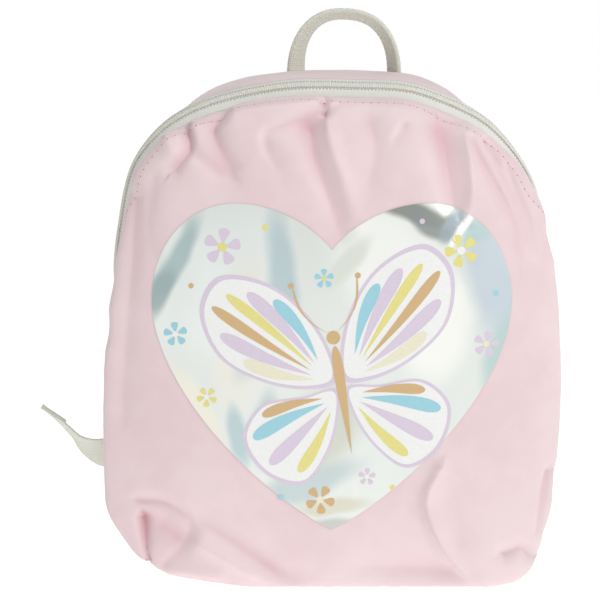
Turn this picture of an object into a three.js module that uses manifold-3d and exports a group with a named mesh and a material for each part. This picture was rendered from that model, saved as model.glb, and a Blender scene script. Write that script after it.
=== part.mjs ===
// A small child's backpack, standing on its base: a soft dome-shaped bag of coated cloth with a
// gathered front panel, a zip that runs over the top, a heart of foil on the front, a webbing grab
// handle and two padded shoulder straps with ladder locks.
// Millimetres, +Z up, the front panel faces -Y, +X is the right-hand side of the front view.
// The origin is in the middle of the flat underside.
import * as THREE from 'three';
import { mergeVertices } from 'three/addons/utils/BufferGeometryUtils.js';
import Module from 'manifold-3d';

const wasm = await Module();
wasm.setup();

// The bag
const bodyWidth = 236;
const bodyHeight = 268;
const bodyDepth = 100; // from the back seam to the front seam, at the base
const topSetback = 26; // how far the front seam leans back at the top
const frontCrown = 13; // how far the front panel's middle stands ahead of its seam at the base
const backCrown = 3;
const clothWall = 1.5;
const seamGap = 0.3; // between two pieces that are sewn together
const baseSettle = 0.8; // how far the soft base flattens where it rests
const flankTuck = 6; // how far the gusset lies inside the front panel's bulge, low on the flanks
const backSeamInset = 8;
const shoulderTuck = 5; // how far the top gusset falls behind the zip at the shoulders

// The zip
const tapeWidth = 5.5;
const coilWidth = 5;
const tapeThickness = 1;
const coilThickness = 1.8;
const coilRise = 0.3;
const zipEndHeight = 97;
const tapeTurn = 1.4; // how far the zip lies inside the outline on the flanks

// The foil heart
const heartWidth = 184.5;
const heartHeight = 168;
const heartTipHeight = 34;
const foilThickness = 0.5;

// The grab handle
const handleSpan = 53; // between the middles of its two feet
const handleShift = 8; // to the right of the bag's middle
const handleRise = 31.5;
const handleWidth = 12;
const handleThickness = 3;
const handleSetback = 7; // from the back seam to the middle of the feet
const handleTwist = { left: 48, top: 23, right: 30 }; // degrees, the front edge outwards
const handleSteps = 22;
const handleSquareness = 2.3;

// The shoulder straps
const padWidth = 40;
const padThickness = 8;
const webbingWidth = 20;
const webbingThickness = 1.2;
const strapGap = 0.3; // between webbing and what it runs round
const lockBar = 3.5;
const lockMiddleBar = 3;
const lockThickness = 3;
const lockUpperSlot = 6;
const lockLowerSlot = 5;
const lockSide = 3;
const hemLength = 15;

// The zip slider
const sliderLength = 11;
const sliderWidth = 7;
const sliderThickness = 3;
const lugHeight = 1.6; // of the post that carries the pull
const pullLength = 22;
const pullWidth = 5;
const pullThickness = 1.4;

// How finely the cloth is divided
const zipRunSteps = 45;
const baseRunSteps = 34;

const materials = {
  pinkCloth: new THREE.MeshStandardMaterial({ color: 0xeed6d9, roughness: 0.42, metalness: 0 }),
  foil: new THREE.MeshStandardMaterial({ color: 0xdfe6e2, roughness: 0.25, metalness: 0.85 }),
  webbing: new THREE.MeshStandardMaterial({ color: 0xcfcfc3, roughness: 0.8, metalness: 0 }),
  zipTape: new THREE.MeshStandardMaterial({ color: 0xdadad3, roughness: 0.75, metalness: 0 }),
  lockPlastic: new THREE.MeshStandardMaterial({ color: 0xc6c7bb, roughness: 0.45, metalness: 0 }),
  sliderMetal: new THREE.MeshStandardMaterial({ color: 0xc9cac2, roughness: 0.35, metalness: 0.6 }),
};

// The bag seen from the front, from the middle of the base round to the right:
// across is a share of half the width, up a share of the height.
const OUTLINE = [
  { across: 0.05, up: 0 },
  { across: 0.595, up: 0 },
  { across: 0.84, up: 0.02 },
  { across: 0.93, up: 0.085 },
  { across: 0.985, up: 0.22 },
  { across: 1.0, up: 0.42 },
  { across: 0.98, up: 0.65 },
  { across: 0.9, up: 0.796 },
  { across: 0.698, up: 0.917 },
  { across: 0.402, up: 0.988 },
  { across: 0.09, up: 1.0 },
  { across: -0.258, up: 0.996 },
  { across: -0.618, up: 0.95 },
  { across: -0.868, up: 0.846 },
  { across: -0.957, up: 0.695 },
  { across: -0.983, up: 0.5 },
  { across: -1.0, up: 0.3 },
  { across: -0.968, up: 0.133 },
  { across: -0.815, up: 0.053 },
  { across: -0.46, up: 0.008 },
];

// The zip's strips from the front seam backwards. A lean is how many degrees a strip turns
// outwards from straight back, over the top and on the flanks.
const ZIP_STRIPS = [
  { name: 'front', width: tapeWidth, leanTop: 52, leanFlank: 35 },
  { name: 'coil', width: coilWidth, leanTop: 38, leanFlank: 20 },
  { name: 'rear', width: tapeWidth, leanTop: 15, leanFlank: 0 },
];

// Rows of the base gusset from the front seam to the back seam: along is the share of that way,
// rise is how far a row lies in from the outline, as a share of the seam's own inset.
const BASE_ROWS = [
  { along: 0, from: 'front', rise: 1 },
  { along: 0.16, from: 'front', rise: 0 },
  { along: 0.55, from: 'front', rise: 0 },
  { along: 0.92, from: 'back', rise: 0 },
  { along: 1, from: 'back', rise: 1 },
];

// Rows of the top gusset from the rear tape to the back seam: its crest is the outline itself.
const TOP_ROWS = [
  { along: 0, crest: 0 },
  { along: 0.3, crest: 0.85 },
  { along: 0.62, crest: 1 },
  { along: 1, crest: 0 },
];
const gussetPuff = 3.6; // how far the crest stands above the rear tape, over the top

// How far the front panel bulges out past its own seam, as a share of panelBulge, at heights on the
// right and on the left side.
const BULGE = [
  { up: 0.0, right: 0.33, left: 0.33 },
  { up: 0.08, right: 0.5, left: 0.5 },
  { up: 0.18, right: 0.9, left: 0.95 },
  { up: 0.42, right: 1.02, left: 1.0 },
  { up: 0.54, right: 0.95, left: 0.6 },
  { up: 0.63, right: 0.88, left: 0.33 },
  { up: 0.71, right: 0.58, left: 0.25 },
  { up: 0.8, right: 0.28, left: 0.2 },
  { up: 0.9, right: 0.12, left: 0.12 },
  { up: 1.0, right: 0.08, left: 0.08 },
];
const panelBulge = 14;
const bulgeWay = 0.12; // where it is widest, on the way from the edge to the middle
const crownSquareness = 2.6;
const panelFoot = 0.9; // the front panel's lowest point, clear of the surface under the base
const foldFreeWay = 0.18; // folds fade out towards the seam over this share of the way
const crownCentre = { across: 0.02, up: 0.42 };

// Rings of the front panel, from its edge to its middle, as shares of that way.
const FRONT_RINGS = [0, 0.07, 0.15, 0.23, 0.31, 0.39, 0.47, 0.56, 0.66, 0.78, 0.9, 1];
const BACK_RINGS = [0, 0.06, 0.3, 1];

// Dents and ridges of the front panel. Each runs from one point to another (across and up are
// shares of half the width and of the height); reach is its half width and depth how far it sinks,
// both as shares of the height. A ridge has a depth below zero. Sharp ones have one steep side:
// side is the share of the reach that is left on the right-hand side of the run.
const FOLDS = [
  { name: 'shoulder_pucker', from: [-0.64, 0.885], to: [-0.7, 0.815], reach: 0.028, depth: 0.02, side: 1 },
  { name: 'shoulder_pocket', from: [-0.76, 0.85], to: [-0.72, 0.83], reach: 0.03, depth: -0.008, side: 1 },
  { name: 'second_pucker', from: [-0.49, 0.93], to: [-0.48, 0.84], reach: 0.032, depth: 0.017, side: 1.2 },
  { name: 'top_left_pillow', from: [-0.44, 0.915], to: [-0.08, 0.935], reach: 0.03, depth: -0.01, side: 1 },
  { name: 'top_left_valley', from: [-0.06, 0.925], to: [-0.3, 0.87], reach: 0.024, depth: 0.013, side: 1 },
  { name: 'top_left_valley_end', from: [-0.3, 0.87], to: [-0.25, 0.815], reach: 0.028, depth: 0.01, side: 1 },
  { name: 'middle_valley', from: [-0.1, 0.9], to: [0.05, 0.71], reach: 0.032, depth: 0.014, side: 0.6 },
  { name: 'middle_hollow', from: [0.2, 0.87], to: [0.14, 0.78], reach: 0.05, depth: 0.009, side: 1 },
  { name: 'right_valley', from: [0.47, 0.89], to: [0.48, 0.76], reach: 0.04, depth: 0.016, side: 0.8 },
  { name: 'right_ridge', from: [0.61, 0.87], to: [0.6, 0.74], reach: 0.026, depth: -0.01, side: 1 },
  { name: 'right_shoulder_crease', from: [0.6, 0.855], to: [0.82, 0.7], reach: 0.022, depth: 0.012, side: 1 },
  { name: 'corner_pleat', from: [-0.815, 0.15], to: [-0.83, 0.06], reach: 0.022, depth: 0.013, side: 0.5 },
  { name: 'corner_pocket', from: [-0.76, 0.13], to: [-0.72, 0.09], reach: 0.07, depth: 0.008, side: 1 },
  { name: 'low_left_valley', from: [-0.5, 0.115], to: [-0.14, 0.03], reach: 0.026, depth: 0.016, side: 1 },
  { name: 'low_left_ridge', from: [-0.52, 0.085], to: [-0.2, 0.025], reach: 0.028, depth: -0.01, side: 1 },
  { name: 'low_middle_hollow', from: [0.15, 0.06], to: [0.48, 0.05], reach: 0.05, depth: 0.011, side: 1 },
  { name: 'low_right_ridge', from: [0.45, 0.19], to: [0.6, 0.04], reach: 0.03, depth: -0.018, side: 0.7 },
  { name: 'right_edge_valley', from: [0.93, 0.2], to: [0.87, 0.07], reach: 0.024, depth: 0.014, side: 1 },
];

// Padded strap from its seat on the back panel down to the ladder lock: across is a share of half
// the body width, up of the height, off the stand-off from the back panel as a share of the depth,
// broad and thick shares of the pad's width and thickness.
const PAD_STATIONS = [
  { across: 0.32, up: 0.945, off: 0.0, broad: 0.8, thick: 0.35 },
  { across: 0.325, up: 0.9, off: 0.0, broad: 0.9, thick: 0.5 },
  { across: 0.33, up: 0.86, off: 0.025, broad: 1, thick: 0.85 },
  { across: 0.35, up: 0.79, off: 0.11, broad: 1, thick: 1 },
  { across: 0.375, up: 0.7, off: 0.185, broad: 1, thick: 1 },
  { across: 0.41, up: 0.6, off: 0.205, broad: 1, thick: 1 },
  { across: 0.46, up: 0.51, off: 0.175, broad: 0.97, thick: 1 },
  { across: 0.515, up: 0.445, off: 0.135, broad: 0.85, thick: 0.95 },
  { across: 0.553, up: 0.412, off: 0.115, broad: 0.62, thick: 0.8 },
];
const padCorners = 12;
const padSquareness = 4;

// The loaded run of the webbing ends on the back panel, above the lower corner.
const ANCHOR = { across: 0.82, up: 0.105, seat: 10 };
const seatLift = 0.25; // of the webbing's middle, so that its edges clear the crowned back panel

// The loose tails beyond the lock: across is a share of half the width, up of the height, off of
// the depth behind the back panel; turn is the angle of the webbing's width above level, seen from
// the front, and lean how far its upper edge tips away from the front.
const TAILS = {
  left: [
    { across: 0.745, up: 0.265, off: 0.1, turn: 38, lean: 0 },
    { across: 0.86, up: 0.224, off: 0.085, turn: 62, lean: -12 },
    { across: 0.97, up: 0.208, off: 0.06, turn: 82, lean: -24 },
    { across: 1.053, up: 0.211, off: 0.035, turn: 98, lean: -27 },
    { across: 1.12, up: 0.223, off: 0.015, turn: 112, lean: -50 },
    { across: 1.18, up: 0.243, off: 0, turn: 125, lean: -72 },
    { across: 1.252, up: 0.274, off: 0, turn: 128, lean: -76 },
    { across: 1.344, up: 0.305, off: 0, turn: 130, lean: -82 },
  ],
  right: [
    { across: 0.66, up: 0.25, off: 0.1, turn: 22, lean: 0 },
    { across: 0.685, up: 0.2, off: 0.11, turn: 14, lean: 0 },
    { across: 0.7, up: 0.14, off: 0.11, turn: 7, lean: 0 },
    { across: 0.705, up: 0.08, off: 0.095, turn: 3, lean: 0 },
  ],
};

const radians = THREE.MathUtils.degToRad;
const lerp = THREE.MathUtils.lerp;
const smoothstep = THREE.MathUtils.smoothstep;

/** Reads a column of a table at a height, between its two nearest rows. */
function readTable(rows, key, column, value) {
  let lower = rows[0];
  for (const row of rows) {
    if (value <= row[key]) {
      const span = row[key] - lower[key];
      const share = span > 0 ? (value - lower[key]) / span : 0;
      return lerp(lower[column], row[column], smoothstep(share, 0, 1));
    }
    lower = row;
  }
  return lower[column];
}

/** A closed geometry from loose triangles, with its faces pointing out. */
function closedGeometry(triangles) {
  const corners = [];
  for (const [a, b, c] of triangles) {
    if (a.distanceTo(b) > 1e-6 && b.distanceTo(c) > 1e-6 && c.distanceTo(a) > 1e-6) {
      corners.push(a, b, c);
    }
  }
  let volume = 0;
  for (let i = 0; i < corners.length; i += 3) {
    volume += corners[i].dot(new THREE.Vector3().crossVectors(corners[i + 1], corners[i + 2]));
  }
  if (volume < 0) {
    corners.reverse();
  }
  const loose = new THREE.BufferGeometry().setFromPoints(corners);
  return mergeVertices(loose, 1e-4);
}

/** A wall between two grids of points, such as the outside and the inside of a cloth panel. */
function sheetGeometry(outer, inner, closed) {
  const triangles = [];
  const quad = (a, b, c, d) => triangles.push([a, b, c], [a, c, d]);
  const last = outer.length - 1;
  const columns = outer[0].length;
  const steps = closed ? columns : columns - 1;
  for (let c = 0; c < steps; c++) {
    const n = (c + 1) % columns;
    for (let r = 0; r < last; r++) {
      quad(outer[r][c], outer[r][n], outer[r + 1][n], outer[r + 1][c]);
      quad(inner[r][c], inner[r + 1][c], inner[r + 1][n], inner[r][n]);
    }
    quad(outer[0][c], inner[0][c], inner[0][n], outer[0][n]);
    quad(outer[last][c], outer[last][n], inner[last][n], inner[last][c]);
  }
  if (!closed) {
    const end = columns - 1;
    for (let r = 0; r < last; r++) {
      quad(outer[r][0], outer[r + 1][0], inner[r + 1][0], inner[r][0]);
      quad(outer[r][end], inner[r][end], inner[r + 1][end], outer[r + 1][end]);
    }
  }
  return closedGeometry(triangles);
}

/** A solid swept through rings of points that all have the same number of corners. */
function sweptGeometry(rings) {
  const triangles = [];
  const corners = rings[0].length;
  for (let s = 0; s < rings.length - 1; s++) {
    for (let c = 0; c < corners; c++) {
      const n = (c + 1) % corners;
      triangles.push([rings[s][c], rings[s][n], rings[s + 1][n]]);
      triangles.push([rings[s][c], rings[s + 1][n], rings[s + 1][c]]);
    }
  }
  const first = rings[0];
  const final = rings[rings.length - 1];
  for (let c = 1; c < corners - 1; c++) {
    triangles.push([first[0], first[c + 1], first[c]]);
    triangles.push([final[0], final[c], final[c + 1]]);
  }
  return closedGeometry(triangles);
}

function toManifold(geometry) {
  const bare = new THREE.BufferGeometry();
  bare.setAttribute('position', geometry.getAttribute('position'));
  if (geometry.index) {
    bare.setIndex(geometry.index);
  }
  const merged = mergeVertices(bare, 1e-4);
  return new wasm.Manifold(new wasm.Mesh({
    numProp: 3,
    vertProperties: new Float32Array(merged.getAttribute('position').array),
    triVerts: new Uint32Array(merged.index.array),
  }));
}

function fromManifold(manifold) {
  const mesh = manifold.getMesh();
  const geometry = new THREE.BufferGeometry();
  geometry.setAttribute('position', new THREE.BufferAttribute(new Float32Array(mesh.vertProperties), 3));
  geometry.setIndex(new THREE.BufferAttribute(new Uint32Array(mesh.triVerts), 1));
  return geometry;
}

/** The first place where a ray meets a piece. */
function surfaceAt(geometry, origin, direction) {
  const probe = new THREE.Mesh(geometry, new THREE.MeshBasicMaterial({ side: THREE.DoubleSide }));
  const hits = new THREE.Raycaster(origin, direction).intersectObject(probe);
  return hits.length > 0 ? hits[0].point : origin;
}

const outline = new THREE.CatmullRomCurve3(
  OUTLINE.map((knot) => new THREE.Vector3(knot.across * bodyWidth / 2, 0, knot.up * bodyHeight)),
  true, 'centripetal',
);
outline.arcLengthDivisions = 1600;

/** A place on the outline: its point, its outward direction, its height share and its side. */
function stationAt(t) {
  const point = outline.getPointAt(t);
  const tangent = outline.getTangentAt(t);
  point.z = Math.max(point.z - baseSettle, 0);
  return {
    point,
    outward: new THREE.Vector3(tangent.z, 0, -tangent.x),
    up: THREE.MathUtils.clamp(point.z / bodyHeight, 0, 1),
    side: point.x > 0 ? 'right' : 'left',
  };
}

/** Where the outline passes a height, on the way up on the right or down on the left. */
function outlinePassing(height, side) {
  const steps = 2000;
  for (let i = 1; i < steps; i++) {
    const share = i / (2 * steps);
    const t = side === 'right' ? share : 1 - share;
    if (outline.getPointAt(t).z > height) {
      return t;
    }
  }
  return 0.5;
}

const zipRight = outlinePassing(zipEndHeight, 'right');
const zipLeft = outlinePassing(zipEndHeight, 'left');
const endGap = seamGap / 2 / outline.getLength();

/** Stations of a run along the outline, evenly spaced. */
function runStations(from, to, steps) {
  return Array.from({ length: steps + 1 }, (_, i) => stationAt((lerp(from, to, i / steps) + 1) % 1));
}

const zipStations = runStations(zipRight + endGap, zipLeft - endGap, zipRunSteps);
const baseStations = runStations(zipLeft + endGap - 1, zipRight - endGap, baseRunSteps);
const rimStations = [
  ...runStations(zipRight, zipLeft, zipRunSteps).slice(0, -1),
  ...runStations(zipLeft - 1, zipRight, baseRunSteps).slice(0, -1),
];

const backSeamY = bodyDepth / 2;

/** The front seam lies in a plane that leans back towards the top. */
function frontSeamY(station) {
  return -bodyDepth / 2 + topSetback * station.up;
}

/** How far the gusset lies inside the silhouette: the front panel bulges past it on the flanks. */
function gussetInset(station) {
  const fadeHigh = station.side === 'right' ? [0.62, 0.8] : [0.44, 0.64];
  const high = 1 - smoothstep(station.up, fadeHigh[0], fadeHigh[1]);
  const low = smoothstep(station.up, 0.02, 0.2);
  return flankTuck * high * low;
}

/** A point of the bag's skin at a station: inset from the outline, y back from the middle. */
function skinPoint(station, inset, y) {
  const point = station.point.clone().addScaledVector(station.outward, -inset);
  point.y = y;
  point.z = Math.max(point.z, 0);
  return point;
}

function stripLean(strip, station) {
  return radians(lerp(strip.leanFlank, strip.leanTop, smoothstep(station.up, 0.8, 1)));
}

/** 1 over the top, where the gusset stands above the zip, and 0 from the shoulders down. */
function topShare(station) {
  return smoothstep(station.up, 0.9, 0.985);
}

/** How far the rear tape lies inside the outline. */
function tapeInset(station) {
  return gussetInset(station) + lerp(tapeTurn, gussetPuff, topShare(station));
}

/** How far the top gusset's crest lies inside the outline. */
function crestInset(station) {
  const tuck = shoulderTuck * smoothstep(station.up, 0.4, 0.7) * (1 - topShare(station));
  return gussetInset(station) + tuck;
}

/** The seam lines of the zip at a station, from the front seam to the rear tape's edge. */
function zipLines(station) {
  const spread = ZIP_STRIPS
    .map((strip) => strip.width * Math.sin(stripLean(strip, station)))
    .reduce((sum, part) => sum + part, 0);
  let inset = tapeInset(station) + spread;
  let y = frontSeamY(station);
  const lines = [skinPoint(station, inset, y)];
  for (const strip of ZIP_STRIPS) {
    inset -= strip.width * Math.sin(stripLean(strip, station));
    y += strip.width * Math.cos(stripLean(strip, station));
    lines.push(skinPoint(station, inset, y));
  }
  return lines;
}

function frontSeamInset(station) {
  return station.point.distanceTo(zipLines(station)[0].setY(0));
}

function backInset(station) {
  const flank = lerp(backSeamInset / 2, backSeamInset, smoothstep(station.up, 0, 0.15));
  return lerp(flank, backSeamInset / 2, topShare(station));
}

function topGussetLines(station) {
  const start = zipLines(station)[ZIP_STRIPS.length];
  return TOP_ROWS.map((row) => {
    const seams = lerp(tapeInset(station), backInset(station), row.along);
    const inset = lerp(seams, crestInset(station), row.crest);
    return skinPoint(station, inset, lerp(start.y, backSeamY, row.along));
  });
}

function baseGussetLines(station) {
  const start = frontSeamY(station);
  return BASE_ROWS.map((row) => {
    const seam = row.from === 'front' ? frontSeamInset(station) : backInset(station);
    const inset = lerp(gussetInset(station), seam, row.rise);
    return skinPoint(station, inset, lerp(start, backSeamY, row.along));
  });
}

const crownPoint = new THREE.Vector3(
  crownCentre.across * bodyWidth / 2,
  -bodyDepth / 2 - frontCrown,
  crownCentre.up * bodyHeight,
);

/** How far the folds push a point of the front panel in (above zero) or out. */
function foldDepth(x, z) {
  let depth = 0;
  for (const fold of FOLDS) {
    const ax = fold.from[0] * bodyWidth / 2;
    const az = fold.from[1] * bodyHeight;
    const dx = fold.to[0] * bodyWidth / 2 - ax;
    const dz = fold.to[1] * bodyHeight - az;
    const length = Math.hypot(dx, dz);
    const along = ((x - ax) * dx + (z - az) * dz) / length;
    const beyond = Math.max(0, -along, along - length);
    const beside = ((x - ax) * dz - (z - az) * dx) / length;
    const reach = fold.reach * bodyHeight * (beside > 0 ? fold.side : 1);
    depth += fold.depth * bodyHeight * Math.exp(-((beside / reach) ** 2) - (beyond / reach) ** 2);
  }
  return depth;
}

/** The front panel without folds: way is 0 at its edge and 1 in its middle. */
function crownedPoint(station, way) {
  const rim = zipLines(station)[0];
  const angle = way * Math.PI / 2;
  const point = crownPoint.clone().lerp(rim, Math.cos(angle) ** (2 / crownSquareness));
  point.y = lerp(rim.y, crownPoint.y, Math.sin(angle) ** (2 / crownSquareness));
  const swell = panelBulge * readTable(BULGE, 'up', station.side, station.up);
  const share = way / bulgeWay;
  point.addScaledVector(station.outward, swell * share * Math.exp(1 - share) * Math.cos(angle));
  point.z = Math.max(point.z, panelFoot);
  return point;
}

/** The slope of a grid of points at one of them, pointing out of the bag. */
function gridNormal(grid, row, column) {
  const columns = grid[row].length;
  const last = grid.length - 1;
  if (row === last) {
    return new THREE.Vector3(0, -1, 0);
  }
  const across = grid[row][(column + 1) % columns].clone().sub(grid[row][(column + columns - 1) % columns]);
  const along = grid[Math.min(row + 1, last)][column].clone().sub(grid[Math.max(row - 1, 0)][column]);
  return new THREE.Vector3().crossVectors(across, along).normalize();
}

/** Normals of a section's lines in the plane across the seam, from its neighbouring lines. */
function sectionNormal(station, before, after) {
  const step = after.clone().sub(before);
  const out = step.dot(station.outward);
  return station.outward.clone().multiplyScalar(step.y).add(new THREE.Vector3(0, -out, 0)).normalize();
}

/** The front panel's outside as rings of points, with the folds in it. */
function frontRings() {
  const crowned = FRONT_RINGS.map((way) => rimStations.map((station) => crownedPoint(station, way)));
  return crowned.map((ring, r) => ring.map((point, c) => {
    const calm = smoothstep(FRONT_RINGS[r], 0.02, foldFreeWay) * (1 - smoothstep(FRONT_RINGS[r], 0.9, 1));
    const push = -foldDepth(point.x, point.z) * calm;
    const moved = point.clone().addScaledVector(gridNormal(crowned, r, c), push);
    moved.z = Math.max(moved.z, panelFoot);
    return moved;
  }));
}

/** The seam line next to the rim on the gusset's side. */
function besideRim(c, zipSide, baseSide) {
  return (c <= zipRunSteps ? zipSide : baseSide)(rimStations[c]);
}

/** Moves a panel's edge off the seam line, towards the panel's own next row. */
function backedOff(edge, next) {
  const step = next.clone().sub(edge);
  return step.setLength(seamGap / 2);
}

const frontGrid = frontRings();

function frontPanel() {
  const outer = frontGrid.map((ring) => ring.map((point) => point.clone()));
  const inner = outer.map((ring, r) => ring.map((point, c) => {
    const beside = besideRim(c, (s) => zipLines(s)[1], (s) => baseGussetLines(s)[1]);
    const normal = r === 0
      ? sectionNormal(rimStations[c], outer[1][c], beside)
      : gridNormal(frontGrid, r, c);
    return point.clone().addScaledVector(normal, -clothWall);
  }));
  rimStations.forEach((station, c) => {
    const off = backedOff(frontGrid[0][c], frontGrid[1][c]);
    outer[0][c].add(off);
    inner[0][c].add(off);
  });
  return sheetGeometry(outer, inner, true);
}

/** A strip of cloth or tape between two or more seam lines that run along stations. */
function seamStrip(stations, linesOf, before, after, wall, rise) {
  const grid = stations.map((station) => linesOf(station));
  const rows = grid[0].length;
  const outer = [];
  const inner = [];
  for (let r = 0; r < rows; r++) {
    outer.push([]);
    inner.push([]);
    stations.forEach((station, s) => {
      const lines = grid[s];
      const previous = r === 0 ? before(station) : lines[r - 1];
      const next = r === rows - 1 ? after(station) : lines[r + 1];
      const normal = sectionNormal(station, previous, next);
      const point = lines[r].clone();
      if (r === 0) {
        point.add(backedOff(lines[0], lines[1]));
      }
      if (r === rows - 1) {
        point.add(backedOff(lines[r], lines[r - 1]));
      }
      outer[r].push(point.clone().addScaledVector(normal, rise));
      inner[r].push(point.addScaledVector(normal, rise - wall));
    });
  }
  return sheetGeometry(outer, inner, false);
}

const firstRing = (station) => crownedPoint(station, FRONT_RINGS[1]);
const backRing = (station) => skinPoint(station, backInset(station), backSeamY)
  .lerp(new THREE.Vector3(crownPoint.x, backSeamY + backCrown, crownPoint.z), BACK_RINGS[1]);

function zipStrip(index, wall, rise) {
  const before = (station) => (index === 0 ? firstRing(station) : zipLines(station)[index - 1]);
  const after = (station) => (index === 2 ? topGussetLines(station)[1] : zipLines(station)[index + 2]);
  return seamStrip(zipStations, (s) => zipLines(s).slice(index, index + 2), before, after, wall, rise);
}

function topGusset() {
  return seamStrip(zipStations, topGussetLines, (s) => zipLines(s)[2], backRing, clothWall, 0);
}

function baseGusset() {
  return seamStrip(baseStations, baseGussetLines, firstRing, backRing, clothWall, 0);
}

function backPanel() {
  const middle = new THREE.Vector3(crownPoint.x, backSeamY + backCrown, crownPoint.z);
  const outer = BACK_RINGS.map((way) => rimStations.map((station) => {
    const point = skinPoint(station, backInset(station), backSeamY).lerp(middle, way);
    point.y = backSeamY + backCrown * (1 - (1 - way) ** 2);
    return point;
  }));
  const inner = outer.map((ring, r) => ring.map((point, c) => {
    const beside = besideRim(c, (s) => topGussetLines(s).at(-2), (s) => baseGussetLines(s).at(-2));
    const normal = r === 0
      ? sectionNormal(rimStations[c], beside, outer[1][c])
      : new THREE.Vector3(0, 1, 0);
    return point.clone().addScaledVector(normal, -clothWall);
  }));
  rimStations.forEach((station, c) => {
    const off = backedOff(outer[0][c], outer[1][c]);
    outer[0][c].add(off);
    inner[0][c].add(off);
  });
  return sheetGeometry(outer, inner, true);
}

/** The heart's outline, in shares of its width from the middle and its height from the tip. */
function heartShape() {
  const shape = new THREE.Shape();
  const at = (x, z) => [x * heartWidth, heartTipHeight + z * heartHeight];
  shape.moveTo(...at(0, 0));
  shape.bezierCurveTo(...at(0.18, 0.1), ...at(0.5, 0.43), ...at(0.5, 0.707));
  shape.bezierCurveTo(...at(0.5, 0.87), ...at(0.4, 1), ...at(0.268, 1));
  shape.bezierCurveTo(...at(0.16, 1), ...at(0.06, 0.94), ...at(0, 0.86));
  shape.bezierCurveTo(...at(-0.06, 0.94), ...at(-0.16, 1), ...at(-0.268, 1));
  shape.bezierCurveTo(...at(-0.4, 1), ...at(-0.5, 0.87), ...at(-0.5, 0.707));
  shape.bezierCurveTo(...at(-0.5, 0.43), ...at(-0.18, 0.1), ...at(0, 0));
  return shape;
}

/** The foil follows the front panel's folds and is cut to the heart. */
function heartFoil() {
  const firstCovered = 2;
  const rings = frontGrid.slice(firstCovered);
  const shifted = (by) => rings.map((ring) => ring.map((point) => point.clone().setY(point.y - by)));
  const skin = sheetGeometry(shifted(seamGap + foilThickness), shifted(seamGap), true);
  const cutter = new THREE.ExtrudeGeometry(heartShape(), {
    depth: 2 * bodyDepth, bevelEnabled: false, curveSegments: 7,
  });
  cutter.rotateX(Math.PI / 2);
  cutter.translate(0, bodyDepth, 0);
  return fromManifold(toManifold(skin).intersect(toManifold(cutter)));
}

/** A flat band swept through stations, each a point and the direction of the band's width. */
function ribbonGeometry(stations, width, thickness) {
  const last = stations.length - 1;
  const rings = stations.map((station, i) => {
    const tangent = stations[Math.min(i + 1, last)].point.clone()
      .sub(stations[Math.max(i - 1, 0)].point).normalize();
    const broad = station.width.clone().addScaledVector(tangent, -tangent.dot(station.width)).normalize();
    const thin = new THREE.Vector3().crossVectors(tangent, broad);
    const over = thickness * (station.over ?? 0.5);
    const under = thickness * (station.under ?? 0.5);
    return [[1, 1], [-1, 1], [-1, -1], [1, -1]].map(([w, v]) => station.point.clone()
      .addScaledVector(broad, w * width / 2)
      .addScaledVector(thin, v > 0 ? over : -under));
  });
  return sweptGeometry(rings);
}

/** Where a straight line down meets the top gusset. */
function gussetTop(gusset, x, y) {
  const above = new THREE.Vector3(x, y, 2 * bodyHeight);
  return surfaceAt(gusset, above, new THREE.Vector3(0, 0, -1)).z;
}

/** The middle line of the handle's webbing, from its left foot to its right one. */
function handleLine(gusset) {
  const y = backSeamY - handleSetback;
  return Array.from({ length: handleSteps + 1 }, (_, i) => {
    const angle = Math.PI * (1 - i / handleSteps);
    const power = 2 / handleSquareness;
    const out = Math.sign(Math.cos(angle)) * Math.abs(Math.cos(angle)) ** power;
    const rise = Math.sin(angle) ** power;
    const x = handleShift + out * handleSpan / 2;
    const point = new THREE.Vector3(x, y, gussetTop(gusset, x, y) + rise * handleRise);
    const twist = lerp(out < 0 ? handleTwist.left : handleTwist.right, handleTwist.top, rise);
    return { point, twist: radians(twist) };
  });
}

/** The grab handle: a doubled webbing whose front edge stands wider than its rear edge. */
function grabHandle(gusset) {
  const line = handleLine(gusset);
  const corners = line.map(({ point, twist }, i) => {
    const before = line[Math.max(i - 1, 0)].point;
    const after = line[Math.min(i + 1, handleSteps)].point;
    const tangent = after.clone().sub(before).normalize();
    const outward = new THREE.Vector3(-tangent.z, 0, tangent.x);
    const broad = new THREE.Vector3(0, -Math.cos(twist), 0).addScaledVector(outward, Math.sin(twist));
    const thin = new THREE.Vector3().crossVectors(tangent, broad);
    return [[1, 1], [-1, 1], [-1, -1], [1, -1]].map(([w, v]) => {
      const corner = point.clone()
        .addScaledVector(broad, w * handleWidth / 2)
        .addScaledVector(thin, v * handleThickness / 2);
      if (i === 0 || i === handleSteps) {
        corner.z = gussetTop(gusset, corner.x, corner.y) + seamGap;
      }
      return corner;
    });
  });
  return sweptGeometry(corners);
}

/** A point behind the back panel: across and up as shares, off is the stand-off in millimetres. */
function behindBack(panel, across, up, off) {
  const probe = new THREE.Vector3(across * bodyWidth / 2, 3 * bodyDepth, up * bodyHeight);
  const seat = surfaceAt(panel, probe, new THREE.Vector3(0, -1, 0));
  const y = Math.abs(seat.y - probe.y) < 1e-9 ? backSeamY : seat.y;
  return new THREE.Vector3(probe.x, y + seamGap + off, probe.z);
}

function strapCurve(points) {
  return new THREE.CatmullRomCurve3(points, false, 'centripetal');
}

/** Centre stations of a padded strap on one side (sign is -1 on the left). */
function padStations(panel, sign) {
  return PAD_STATIONS.map((row) => {
    const thick = padThickness * row.thick;
    return {
      point: behindBack(panel, sign * row.across, row.up, row.off * bodyDepth + thick / 2),
      broad: padWidth * row.broad,
      thick,
    };
  });
}

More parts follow.
